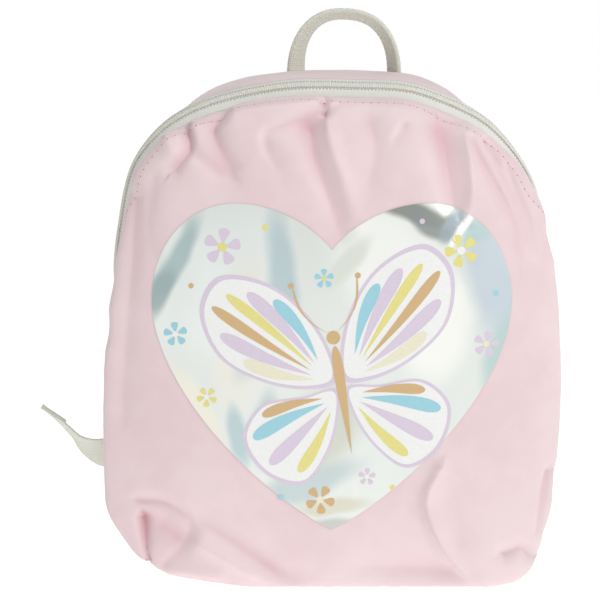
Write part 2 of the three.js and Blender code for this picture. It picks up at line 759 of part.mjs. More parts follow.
function strapPad(panel, sign) {
  const stations = padStations(panel, sign);
  const last = stations.length - 1;
  const steps = 16;
  const curve = strapCurve(stations.map((station) => station.point));
  const rings = [];
  for (let i = 0; i <= steps; i++) {
    const place = (i / steps) * last;
    const row = Math.min(Math.floor(place), last - 1);
    const broadness = lerp(stations[row].broad, stations[row + 1].broad, place - row);
    const thickness = lerp(stations[row].thick, stations[row + 1].thick, place - row);
    const tangent = curve.getTangent(i / steps);
    const broad = new THREE.Vector3().crossVectors(tangent, new THREE.Vector3(0, 1, 0)).normalize();
    const thin = new THREE.Vector3().crossVectors(tangent, broad);
    rings.push(Array.from({ length: padCorners }, (_, c) => {
      const angle = 2 * Math.PI * (c + 0.5) / padCorners;
      const share = (v) => Math.sign(v) * Math.abs(v) ** (2 / padSquareness);
      return curve.getPoint(i / steps)
        .addScaledVector(broad, share(Math.cos(angle)) * broadness / 2)
        .addScaledVector(thin, share(Math.sin(angle)) * thickness / 2);
    }));
  }
  return sweptGeometry(rings);
}

/** The lock's own frame: its middle is the top bar, up points to the pad, out off the bag. */
function lockFrame(panel, sign) {
  const stations = padStations(panel, sign);
  const end = stations[stations.length - 1].point;
  const curve = strapCurve(stations.map((station) => station.point));
  const up = curve.getTangent(1).negate();
  const broad = new THREE.Vector3().crossVectors(up, new THREE.Vector3(0, 1, 0)).normalize();
  const out = new THREE.Vector3().crossVectors(broad, up).normalize();
  const reach = lockBar + 2.5;
  return {
    at: (u, v) => end.clone().addScaledVector(up, u - reach).addScaledVector(out, v),
    matrix: new THREE.Matrix4().makeBasis(broad, up, out)
      .setPosition(end.clone().addScaledVector(up, -reach)),
    broad,
    reach,
  };
}

const lockHalf = lockBar / 2;
const middleTop = -lockHalf - lockUpperSlot;
const middleFoot = middleTop - lockMiddleBar;
const lockFoot = middleFoot - lockLowerSlot - lockBar;
const clear = lockThickness / 2 + strapGap + webbingThickness / 2;

/** The ladder lock: a moulded frame with two slots and three bars. */
function ladderLock(panel, sign) {
  const inside = webbingWidth / 2 + strapGap + 0.3;
  const outside = inside + lockSide;
  const shape = new THREE.Shape();
  const corner = 2;
  shape.moveTo(-outside + corner, lockFoot);
  shape.lineTo(outside - corner, lockFoot);
  shape.lineTo(outside, lockFoot + corner);
  shape.lineTo(outside, lockHalf - corner);
  shape.lineTo(outside - corner, lockHalf);
  shape.lineTo(-outside + corner, lockHalf);
  shape.lineTo(-outside, lockHalf - corner);
  shape.lineTo(-outside, lockFoot + corner);
  shape.closePath();
  const slot = (low, high) => {
    const hole = new THREE.Path();
    hole.moveTo(-inside, low);
    hole.lineTo(-inside, high);
    hole.lineTo(inside, high);
    hole.lineTo(inside, low);
    hole.closePath();
    return hole;
  };
  shape.holes.push(slot(middleTop, -lockHalf), slot(lockFoot + lockBar, middleFoot));
  const geometry = new THREE.ExtrudeGeometry(shape, { depth: lockThickness, bevelEnabled: false });
  geometry.translate(0, 0, -lockThickness / 2);
  geometry.applyMatrix4(lockFrame(panel, sign).matrix);
  geometry.deleteAttribute('normal');
  geometry.deleteAttribute('uv');
  return mergeVertices(geometry, 1e-4);
}

/** A run of points with its corners rounded, in the lock's up and out directions. */
function roundedRun(points, radius) {
  const run = [points[0]];
  for (let i = 1; i < points.length - 1; i++) {
    const [before, here, after] = points.slice(i - 1, i + 2).map((p) => new THREE.Vector2(...p));
    const back = before.clone().sub(here);
    const on = after.clone().sub(here);
    const bend = Math.min(radius, back.length() / 2, on.length() / 2);
    const start = here.clone().add(back.setLength(bend));
    const end = here.clone().add(on.setLength(bend));
    const curve = new THREE.QuadraticBezierCurve(start, here, end);
    for (const share of [0, 0.35, 0.65, 1]) {
      run.push(curve.getPoint(share).toArray());
    }
  }
  run.push(points[points.length - 1]);
  return run;
}

/** The short loop that holds the lock's top bar and is sewn into the pad's end. */
function lockLoop(panel, sign) {
  const frame = lockFrame(panel, sign);
  const foot = -lockHalf - strapGap - webbingThickness / 2;
  const legs = frame.reach - seamGap;
  const run = roundedRun([[legs, clear], [foot, clear], [foot, -clear], [legs, -clear]], 1.2);
  return ribbonGeometry(
    run.map(([u, v]) => ({ point: frame.at(u, v), width: frame.broad })), webbingWidth, webbingThickness,
  );
}

/** The adjusting webbing: from its seat at the back seam, through the lock, to its loose tail. */
function strapWebbing(panel, sign, tail) {
  const frame = lockFrame(panel, sign);
  const step = webbingThickness / 2 + strapGap;
  const under = -clear - webbingThickness - strapGap;
  const exit = lockFoot - 3;
  const through = roundedRun([
    [exit, under], [middleTop + step, under], [middleTop + step, clear],
    [middleFoot - step, clear], [middleFoot - step, -clear], [exit, -clear],
  ], 1.4);
  const threaded = through.map(([u, v]) => ({ point: frame.at(u, v), width: frame.broad.clone() }));

  const seatOff = webbingThickness / 2 + seatLift;
  const foot = behindBack(panel, sign * ANCHOR.across, ANCHOR.up, seatOff);
  const way = threaded[0].point.clone().sub(foot).setY(0).normalize();
  const lowBroad = new THREE.Vector3().crossVectors(way, new THREE.Vector3(0, 1, 0)).normalize();
  const seatEnd = foot.clone().addScaledVector(way, ANCHOR.seat);
  seatEnd.y = behindBack(panel, seatEnd.x / (bodyWidth / 2), seatEnd.z / bodyHeight, seatOff).y + 0.2;
  const loaded = strapCurve([foot, seatEnd, threaded[0].point.clone().lerp(seatEnd, 0.4)
    .add(new THREE.Vector3(0, -0.8, 0)), threaded[0].point]);
  const loadedStations = Array.from({ length: 9 }, (_, i) => ({
    point: loaded.getPoint(i / 9),
    width: lowBroad.clone().lerp(frame.broad, i / 9),
  }));

  const start = threaded[threaded.length - 1];
  const tailRows = tail.map((row) => {
    const point = new THREE.Vector3(
      sign * row.across * bodyWidth / 2, backSeamY + backCrown + row.off * bodyDepth, row.up * bodyHeight,
    );
    const width = new THREE.Vector3(
      sign * Math.cos(radians(row.turn)) * Math.cos(radians(row.lean)),
      Math.sin(radians(row.lean)),
      Math.sin(radians(row.turn)) * Math.cos(radians(row.lean)),
    );
    return { point, width: width.multiplyScalar(-sign) };
  });
  const knots = [start, ...tailRows];
  const curve = strapCurve(knots.map((knot) => knot.point));
  const steps = 3 * tailRows.length;
  const tailStations = [];
  for (let i = 1; i <= steps; i++) {
    const place = (i / steps) * tailRows.length;
    const row = Math.min(Math.floor(place), tailRows.length - 1);
    tailStations.push({
      point: curve.getPoint(i / steps),
      width: knots[row].width.clone().lerp(knots[row + 1].width, place - row).normalize(),
    });
  }
  const length = curve.getLength();
  const hem = [
    { back: hemLength + webbingThickness / 2, over: 0.5 },
    { back: hemLength, over: 1.5 },
    { back: 0, over: 1.5 },
  ].map((row) => ({
    point: curve.getPointAt(1 - row.back / length),
    width: tailStations[steps - 1].width.clone(),
    over: row.over,
  }));
  const beforeHem = tailStations.filter(
    (station) => station.point.distanceTo(curve.getPoint(1)) > hemLength + webbingThickness,
  );
  const stations = [...loadedStations, ...threaded, ...beforeHem, ...hem];
  return ribbonGeometry(stations, webbingWidth, webbingThickness);
}

/** The zip's slider with its pull, at the zip's right-hand end, out of the front view. */
function zipSlider() {
  const place = zipRight + (sliderLength / 2 + 3) / outline.getLength();
  const station = stationAt(place);
  const lines = zipLines(station);
  const seat = lines[1].clone().lerp(lines[2], 0.5);
  const normal = sectionNormal(station, lines[1], lines[2]);
  const along = outline.getTangentAt(place);
  const across = new THREE.Vector3().crossVectors(along, normal).normalize();
  const lift = coilRise + seamGap;
  const block = (length, width, height, shift, base) => {
    const box = new THREE.BoxGeometry(width, length, height);
    box.deleteAttribute('normal');
    box.deleteAttribute('uv');
    box.translate(0, shift, base + height / 2);
    return toManifold(box);
  };
  const top = lift + sliderThickness;
  const sunk = 0.5;
  const body = block(sliderLength, sliderWidth, sliderThickness, 0, lift);
  const post = block(4, 2, lugHeight + pullThickness, -1, top - sunk);
  const pull = block(pullLength, pullWidth, pullThickness, 1 - pullLength / 2, top + lugHeight - 1.2 * sunk);
  const geometry = fromManifold(body.add(post).add(pull));
  geometry.applyMatrix4(new THREE.Matrix4().makeBasis(across, along, normal).setPosition(seat));
  return geometry;
}

const group = new THREE.Group();

function addPiece(name, geometry, material) {
  const mesh = new THREE.Mesh(geometry, material);
  mesh.name = name;
  group.add(mesh);
}

const gussetGeometry = topGusset();
const backGeometry = backPanel();

addPiece('front_panel', frontPanel(), materials.pinkCloth);
addPiece('heart_foil', heartFoil(), materials.foil);
addPiece('zip_tape_front', zipStrip(0, tapeThickness, 0), materials.zipTape);
addPiece('zip_coil', zipStrip(1, coilThickness, coilRise), materials.zipTape);
addPiece('zip_tape_rear', zipStrip(2, tapeThickness, 0), materials.zipTape);
addPiece('zip_slider', zipSlider(), materials.sliderMetal);
addPiece('top_gusset', gussetGeometry, materials.pinkCloth);
addPiece('base_gusset', baseGusset(), materials.pinkCloth);
addPiece('back_panel', backGeometry, materials.pinkCloth);
addPiece('grab_handle', grabHandle(gussetGeometry), materials.webbing);
for (const [side, sign] of [['left', -1], ['right', 1]]) {
  addPiece(`strap_pad_${side}`, strapPad(backGeometry, sign), materials.pinkCloth);
  addPiece(`lock_loop_${side}`, lockLoop(backGeometry, sign), materials.webbing);
  addPiece(`ladder_lock_${side}`, ladderLock(backGeometry, sign), materials.lockPlastic);
  addPiece(`strap_webbing_${side}`, strapWebbing(backGeometry, sign, TAILS[side]), materials.webbing);
}

export default group;
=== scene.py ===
import math
import bmesh
import bpy
import numpy as np
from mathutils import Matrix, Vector
from mathutils.bvhtree import BVHTree
from mathutils.geometry import delaunay_2d_cdt


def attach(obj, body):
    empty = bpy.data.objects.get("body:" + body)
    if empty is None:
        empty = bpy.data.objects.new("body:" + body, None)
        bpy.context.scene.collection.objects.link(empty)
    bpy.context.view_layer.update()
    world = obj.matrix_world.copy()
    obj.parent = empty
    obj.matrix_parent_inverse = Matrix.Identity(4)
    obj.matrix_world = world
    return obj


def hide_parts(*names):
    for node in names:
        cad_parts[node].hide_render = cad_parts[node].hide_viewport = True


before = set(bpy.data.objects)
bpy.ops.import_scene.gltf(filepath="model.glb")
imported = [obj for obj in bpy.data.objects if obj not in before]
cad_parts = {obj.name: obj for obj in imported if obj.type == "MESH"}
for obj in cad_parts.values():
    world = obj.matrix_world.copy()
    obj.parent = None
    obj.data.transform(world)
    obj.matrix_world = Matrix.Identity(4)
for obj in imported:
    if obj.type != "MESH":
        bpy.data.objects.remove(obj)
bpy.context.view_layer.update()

# The camera stands straight in front of the bag, a little above it, with a long lens. The bag fills
# the picture to its lower edge and stands a little right of the middle.
camera_distance = 1.6
camera_elevation = math.radians(6)
camera_target = Vector((-0.0163, 0, 0.1465))
camera_data = bpy.data.cameras.new("camera")
camera_data.lens = 181
camera = bpy.data.objects.new("camera", camera_data)
bpy.context.scene.collection.objects.link(camera)
camera.location = camera_target + camera_distance * Vector(
    (0, -math.cos(camera_elevation), math.sin(camera_elevation))
)
camera.rotation_euler = (math.pi / 2 - camera_elevation, 0, 0)
bpy.context.scene.camera = camera


class Socket:
    """A shader value in a material, so that maths on it is written as plain expressions."""

    def __init__(self, material, link):
        self.material = material
        self.link = link

    def maths(self, operation, *values):
        return self.material.node("ShaderNodeMath", {"operation": operation}, *values)

    def __add__(self, other):
        return self.maths("ADD", self, other)

    def __sub__(self, other):
        return self.maths("SUBTRACT", self, other)

    def __rsub__(self, other):
        return self.maths("SUBTRACT", other, self)

    def __mul__(self, other):
        return self.maths("MULTIPLY", self, other)

    def __truediv__(self, other):
        return self.maths("DIVIDE", self, other)

    def __pow__(self, other):
        return self.maths("POWER", self, other)

    __radd__ = __add__
    __rmul__ = __mul__


class Finish:
    """A material of one Principled shader. Constants go on its sockets, expressions are linked."""

    def __init__(self, name, **constants):
        self.data = bpy.data.materials.new(name)
        self.data.use_nodes = True
        self.tree = self.data.node_tree
        self.shader = self.tree.nodes["Principled BSDF"]
        for socket, value in constants.items():
            self.shader.inputs[socket.replace("_", " ")].default_value = value

    def node(self, kind, settings, *inputs, output=0, **named):
        """Adds a node: its settings first, then the values or links of its sockets."""
        node = self.tree.nodes.new(kind)
        for key, value in settings.items():
            if key == "stops":
                ramp = node.color_ramp
                while len(ramp.elements) < len(value):
                    ramp.elements.new(0.5)
                for element, (place, colour) in zip(ramp.elements, value):
                    element.position = place
                    element.color = (*colour, 1)
            else:
                setattr(node, key, value)
        for key, value in [*enumerate(inputs), *named.items()]:
            socket = node.inputs[key.replace("_", " ") if isinstance(key, str) else key]
            if isinstance(value, Socket):
                self.tree.links.new(value.link, socket)
            elif value is not None:
                socket.default_value = value
        return Socket(self, node.outputs[output])

    def feed(self, socket, value):
        self.tree.links.new(value.link, self.shader.inputs[socket])

    def place(self, output="Object", scale=(1, 1, 1), turn=(0, 0, 0)):
        """Object coordinates, or the piece's own UV map, stretched and turned."""
        where = self.node("ShaderNodeTexCoord", {}, output=output)
        return self.node("ShaderNodeMapping", {}, where, None, turn, scale)

    def noise(self, where, scale, detail=2.0, roughness=0.5):
        return self.node("ShaderNodeTexNoise", {}, Vector=where, Scale=scale, Detail=detail, Roughness=roughness)

    def between(self, value, low, high):
        """0 below low, 1 above high, smooth between them."""
        return self.node(
            "ShaderNodeMapRange", {"interpolation_type": "SMOOTHSTEP"},
            Value=value, From_Min=low, From_Max=high,
        )

    def mix(self, factor, first, second):
        """A colour between two, by a factor."""
        return self.node(
            "ShaderNodeMix", {"data_type": "RGBA"}, factor, None, None, None, None, None, first, second, output=2,
        )

    def bump(self, height, strength, distance, below=None):
        value = self.node("ShaderNodeBump", {}, Strength=strength, Distance=distance, Height=height, Normal=below)
        return value


def rgb(red, green, blue):
    """A colour given as it looks on a screen, 0 to 255, as the shader's linear colour."""
    return tuple(((c / 255 + 0.055) / 1.055) ** 2.4 if c > 10 else c / 3294.6 for c in (red, green, blue))


def rgba(red, green, blue):
    return (*rgb(red, green, blue), 1)


# The floor and the light are a pale photo studio: a white sweep, a soft light high on the right, a broad one overhead
# and a weak one from the left, and dark and bright cards in front that the foil mirrors.
def studio_plane(name, corners, finish):
    mesh = bpy.data.meshes.new(name)
    mesh.from_pydata(corners, [], [(0, 1, 2, 3)])
    plane = bpy.data.objects.new(name, mesh)
    mesh.materials.append(finish.data)
    bpy.context.scene.collection.objects.link(plane)
    return plane


floor_finish = Finish(
    "white_sweep", Base_Color=(0.45, 0.45, 0.45, 1), Roughness=1.0, Emission_Color=(1, 1, 1, 1),
    Emission_Strength=0.86,
)
floor_half = 6
studio_plane(
    "floor", [(-floor_half, -floor_half, 0), (floor_half, -floor_half, 0), (floor_half, floor_half, 0),
              (-floor_half, floor_half, 0)], floor_finish,
)

# The walls of the studio: white where the camera sees them, dimmer as a light, and for mirrored
# rays white and grey by turns, as wall, cards and open doors are.
bpy.context.scene.view_settings.view_transform = "Standard"
world = bpy.data.worlds.new("studio")
bpy.context.scene.world = world
world.use_nodes = True
walls = world.node_tree
ambient = 0.35
ambient_slope = (0.34, -0.13, 0.03)
background = walls.nodes["Background"]
seen = walls.nodes.new("ShaderNodeLightPath")
direction = walls.nodes.new("ShaderNodeTexCoord")
patches = walls.nodes.new("ShaderNodeTexNoise")
patches.inputs["Scale"].default_value = 2.1
patches.inputs["Detail"].default_value = 1.0
cards = walls.nodes.new("ShaderNodeMapRange")
for socket, value in {"From Min": 0.4, "From Max": 0.58, "To Min": 0.5, "To Max": 1.05}.items():
    cards.inputs[socket].default_value = value
sides = walls.nodes.new("ShaderNodeVectorMath")
sides.operation = "DOT_PRODUCT"
sides.inputs[1].default_value = ambient_slope
dimmer = walls.nodes.new("ShaderNodeMath")
dimmer.inputs[1].default_value = ambient
mirrored = walls.nodes.new("ShaderNodeMix")
for_camera = walls.nodes.new("ShaderNodeMix")
for_camera.inputs["B"].default_value = 1.0
for start, end in [
    (direction.outputs["Generated"], patches.inputs["Vector"]),
    (patches.outputs["Fac"], cards.inputs["Value"]),
    (direction.outputs["Generated"], sides.inputs[0]),
    (sides.outputs["Value"], dimmer.inputs[0]),
    (dimmer.outputs["Value"], mirrored.inputs["A"]),
    (seen.outputs["Is Glossy Ray"], mirrored.inputs["Factor"]),
    (cards.outputs["Result"], mirrored.inputs["B"]),
    (seen.outputs["Is Camera Ray"], for_camera.inputs["Factor"]),
    (mirrored.outputs["Result"], for_camera.inputs["A"]),
    (for_camera.outputs["Result"], background.inputs["Strength"]),
]:
    walls.links.new(start, end)
background.inputs["Color"].default_value = (1, 1, 1, 1)

SOFTBOXES = [
    {"name": "key", "place": (1.1, -1.2, 1.05), "size": (0.5, 0.5), "power": 4.7},
    {"name": "top", "place": (0.1, -0.35, 1.6), "size": (1.2, 0.8), "power": 6.5},
    {"name": "fill", "place": (-0.8, -1.5, 0.45), "size": (1.0, 1.0), "power": 0.8},
]
for box in SOFTBOXES:
    lamp_data = bpy.data.lights.new(box["name"], "AREA")
    lamp_data.shape = "RECTANGLE"
    lamp_data.size, lamp_data.size_y = box["size"]
    lamp_data.energy = box["power"]
    lamp = bpy.data.objects.new(box["name"], lamp_data)
    lamp.location = box["place"]
    lamp.rotation_euler = (Vector((0, 0, 0.15)) - lamp.location).to_track_quat("-Z", "Y").to_euler()
    bpy.context.scene.collection.objects.link(lamp)

# The front panel is one piece of coated cloth, cut larger than the seam that it is sewn to, so that
# it stands in a pillow with folds running in from the seam. Its outline is the bag's own.
body_width = 0.236
body_height = 0.268
body_depth = 0.1
top_setback = 0.026
front_crown = 0.013
cloth_thickness = 0.0009
seam_gap = 0.0003
base_settle = 0.0008
flank_tuck = 0.006
back_seam_inset = 0.008
gusset_puff = 0.0036
shoulder_tuck = 0.005
seam_turn = 0.0014
panel_bulge = 0.014
bulge_way = 0.12
crown_squareness = 2.6
zip_end_height = 0.097
back_seam_y = body_depth / 2

# across is a share of half the width, up of the height.
OUTLINE = [
    {"across": 0.05, "up": 0},
    {"across": 0.595, "up": 0},
    {"across": 0.84, "up": 0.02},
    {"across": 0.93, "up": 0.085},
    {"across": 0.985, "up": 0.22},
    {"across": 1.0, "up": 0.42},
    {"across": 0.98, "up": 0.65},
    {"across": 0.9, "up": 0.796},
    {"across": 0.698, "up": 0.917},
    {"across": 0.402, "up": 0.988},
    {"across": 0.09, "up": 1.0},
    {"across": -0.258, "up": 0.996},
    {"across": -0.618, "up": 0.95},
    {"across": -0.868, "up": 0.846},
    {"across": -0.957, "up": 0.695},
    {"across": -0.983, "up": 0.5},
    {"across": -1.0, "up": 0.3},
    {"across": -0.968, "up": 0.133},
    {"across": -0.815, "up": 0.053},
    {"across": -0.46, "up": 0.008},
]
ZIP_STRIPS = [
    {"width": 0.0055, "lean_top": 52, "lean_flank": 35},
    {"width": 0.005, "lean_top": 38, "lean_flank": 20},
    {"width": 0.0055, "lean_top": 15, "lean_flank": 0},
]
# How far the panel bulges past its seam at a height, on either side, as shares of panel_bulge.
BULGE = [
    {"up": 0.0, "right": 0.33, "left": 0.33},
    {"up": 0.08, "right": 0.5, "left": 0.5},
    {"up": 0.18, "right": 0.9, "left": 0.95},
    {"up": 0.42, "right": 1.02, "left": 1.0},
    {"up": 0.54, "right": 0.95, "left": 0.6},
    {"up": 0.63, "right": 0.88, "left": 0.33},
    {"up": 0.71, "right": 0.58, "left": 0.25},
    {"up": 0.8, "right": 0.28, "left": 0.2},
    {"up": 0.9, "right": 0.12, "left": 0.12},
    {"up": 1.0, "right": 0.08, "left": 0.08},
]


def column(rows, key):
    return np.array([row[key] for row in rows], float)


def smooth_share(value, low, high):
    share = np.clip((value - low) / (high - low), 0, 1)
    return share * share * (3 - 2 * share)


def eased(value, places, levels):
    """A table read at values, easing from row to row."""
    row = np.clip(np.searchsorted(places, value, side="right") - 1, 0, len(places) - 2)
    share = smooth_share(value, places[row], places[row + 1])
    return levels[row] + (levels[row + 1] - levels[row]) * share


def curve_through(knots, closed, steps=60):
    """Points of a smooth curve through knots, close together."""
    knots = np.array(knots, float)
    count = len(knots)
    spans = count if closed else count - 1
    points = []
    share = np.linspace(0, 1, steps, endpoint=False)[:, None]
    for i in range(spans):
        if closed:
            p0, p1, p2, p3 = (knots[(i + k) % count] for k in (-1, 0, 1, 2))
        else:
            p1, p2 = knots[i], knots[i + 1]
            p0 = knots[i - 1] if i > 0 else 2 * p1 - p2
            p3 = knots[i + 2] if i + 2 < count else 2 * p2 - p1
        d0, d1, d2 = (np.sqrt(np.linalg.norm(b - a)) for a, b in ((p0, p1), (p1, p2), (p2, p3)))
        t1 = ((p1 - p0) / d0 - (p2 - p0) / (d0 + d1) + (p2 - p1) / d1) * d1
        t2 = ((p2 - p1) / d1 - (p3 - p1) / (d1 + d2) + (p3 - p2) / d2) * d1
        points.append(p1 + t1 * share + (3 * (p2 - p1) - 2 * t1 - t2) * share**2 + (2 * (p1 - p2) + t1 + t2) * share**3)
    if not closed:
        points.append(knots[-1:])
    return np.concatenate(points)


def along_length(points, closed):
    """The share of the whole length at each point, and the length."""
    ends = np.roll(points, -1, axis=0) if closed else points[1:]
    steps = np.linalg.norm(ends - points[: len(ends)], axis=1)
    lengths = np.concatenate([[0], np.cumsum(steps)])
    return lengths / lengths[-1], lengths[-1]


outline_points = curve_through(
    [(row["across"] * body_width / 2, row["up"] * body_height) for row in OUTLINE], closed=True,
)
outline_shares, outline_length = along_length(outline_points, closed=True)
outline_loop = np.vstack([outline_points, outline_points[:1]])


class Rim:
    """Places round the bag's outline, from the middle of the base up the right-hand side."""

    def __init__(self, shares):
        self.shares = np.atleast_1d(shares) % 1

        def at(shares):
            return np.stack([np.interp(shares % 1, outline_shares, outline_loop[:, k]) for k in (0, 1)], axis=1)

        points = at(self.shares)
        step = 0.0015
        way = at(self.shares + step) - at(self.shares - step)
        way /= np.linalg.norm(way, axis=1)[:, None]
        self.x = points[:, 0]
        self.z = np.maximum(points[:, 1] - base_settle, 0)
        self.out_x = way[:, 1]
        self.out_z = -way[:, 0]
        self.up = np.clip(self.z / body_height, 0, 1)
        self.right = self.x > 0
        self.outward = np.stack([self.out_x, np.zeros(len(self.x)), self.out_z], axis=1)

    def skin(self, inset, y):
        """A point of the bag's skin: inset from the outline, y back from the middle."""
        points = np.stack([
            self.x - self.out_x * inset, np.broadcast_to(y, self.x.shape), self.z - self.out_z * inset,
        ], axis=1)
        points[:, 2] = np.maximum(points[:, 2], 0)
        return points


def gusset_inset(rim):
    high = np.where(rim.right, 1 - smooth_share(rim.up, 0.62, 0.8), 1 - smooth_share(rim.up, 0.44, 0.64))
    return flank_tuck * high * smooth_share(rim.up, 0.02, 0.2)


def puff_share(rim):
    """1 over the top, where the gusset stands above the zip, and 0 from the shoulders down."""
    return smooth_share(rim.up, 0.9, 0.985)


def tape_inset(rim):
    return gusset_inset(rim) + seam_turn + (gusset_puff - seam_turn) * puff_share(rim)


def crest_inset(rim):
    """The top gusset falls behind the zip at the shoulders."""
    return gusset_inset(rim) + shoulder_tuck * smooth_share(rim.up, 0.4, 0.7) * (1 - puff_share(rim))


def strip_lean(strip, rim):
    share = smooth_share(rim.up, 0.8, 1)
    return np.radians(strip["lean_flank"] + (strip["lean_top"] - strip["lean_flank"]) * share)


def zip_profile(rim):
    """Insets and depths of the zip's seam lines, from the front seam to the rear tape's edge."""
    leans = [strip_lean(strip, rim) for strip in ZIP_STRIPS]
    inset = tape_inset(rim) + sum(strip["width"] * np.sin(lean) for strip, lean in zip(ZIP_STRIPS, leans))
    y = -body_depth / 2 + top_setback * rim.up
    rows = [(inset, y)]
    for strip, lean in zip(ZIP_STRIPS, leans):
        inset = inset - strip["width"] * np.sin(lean)
        y = y + strip["width"] * np.cos(lean)
        rows.append((inset, y))
    return rows


crown_point = np.array([0.02 * body_width / 2, -body_depth / 2 - front_crown, 0.42 * body_height])


def crowned(rim, way):
    """The front panel without folds: way is 0 at its edge and 1 in its middle."""
    inset, y = zip_profile(rim)[0]
    edge = rim.skin(inset, y)
    angle = way * math.pi / 2
    plan = np.maximum(np.cos(angle), 0) ** (2 / crown_squareness)
    rise = np.sin(angle) ** (2 / crown_squareness)
    points = crown_point + (edge - crown_point) * plan[:, None]
    points[:, 1] = edge[:, 1] + (crown_point[1] - edge[:, 1]) * rise
    places = column(BULGE, "up")
    right = eased(rim.up, places, column(BULGE, "right"))
    left = eased(rim.up, places, column(BULGE, "left"))
    swell = panel_bulge * (left + (right - left) * smooth_share(rim.x, -0.02, 0.02))
    share = way / bulge_way
    points += rim.outward * (swell * share * np.exp(1 - share) * np.cos(angle))[:, None]
    points[:, 2] = np.maximum(points[:, 2], cloth_thickness)
    return points


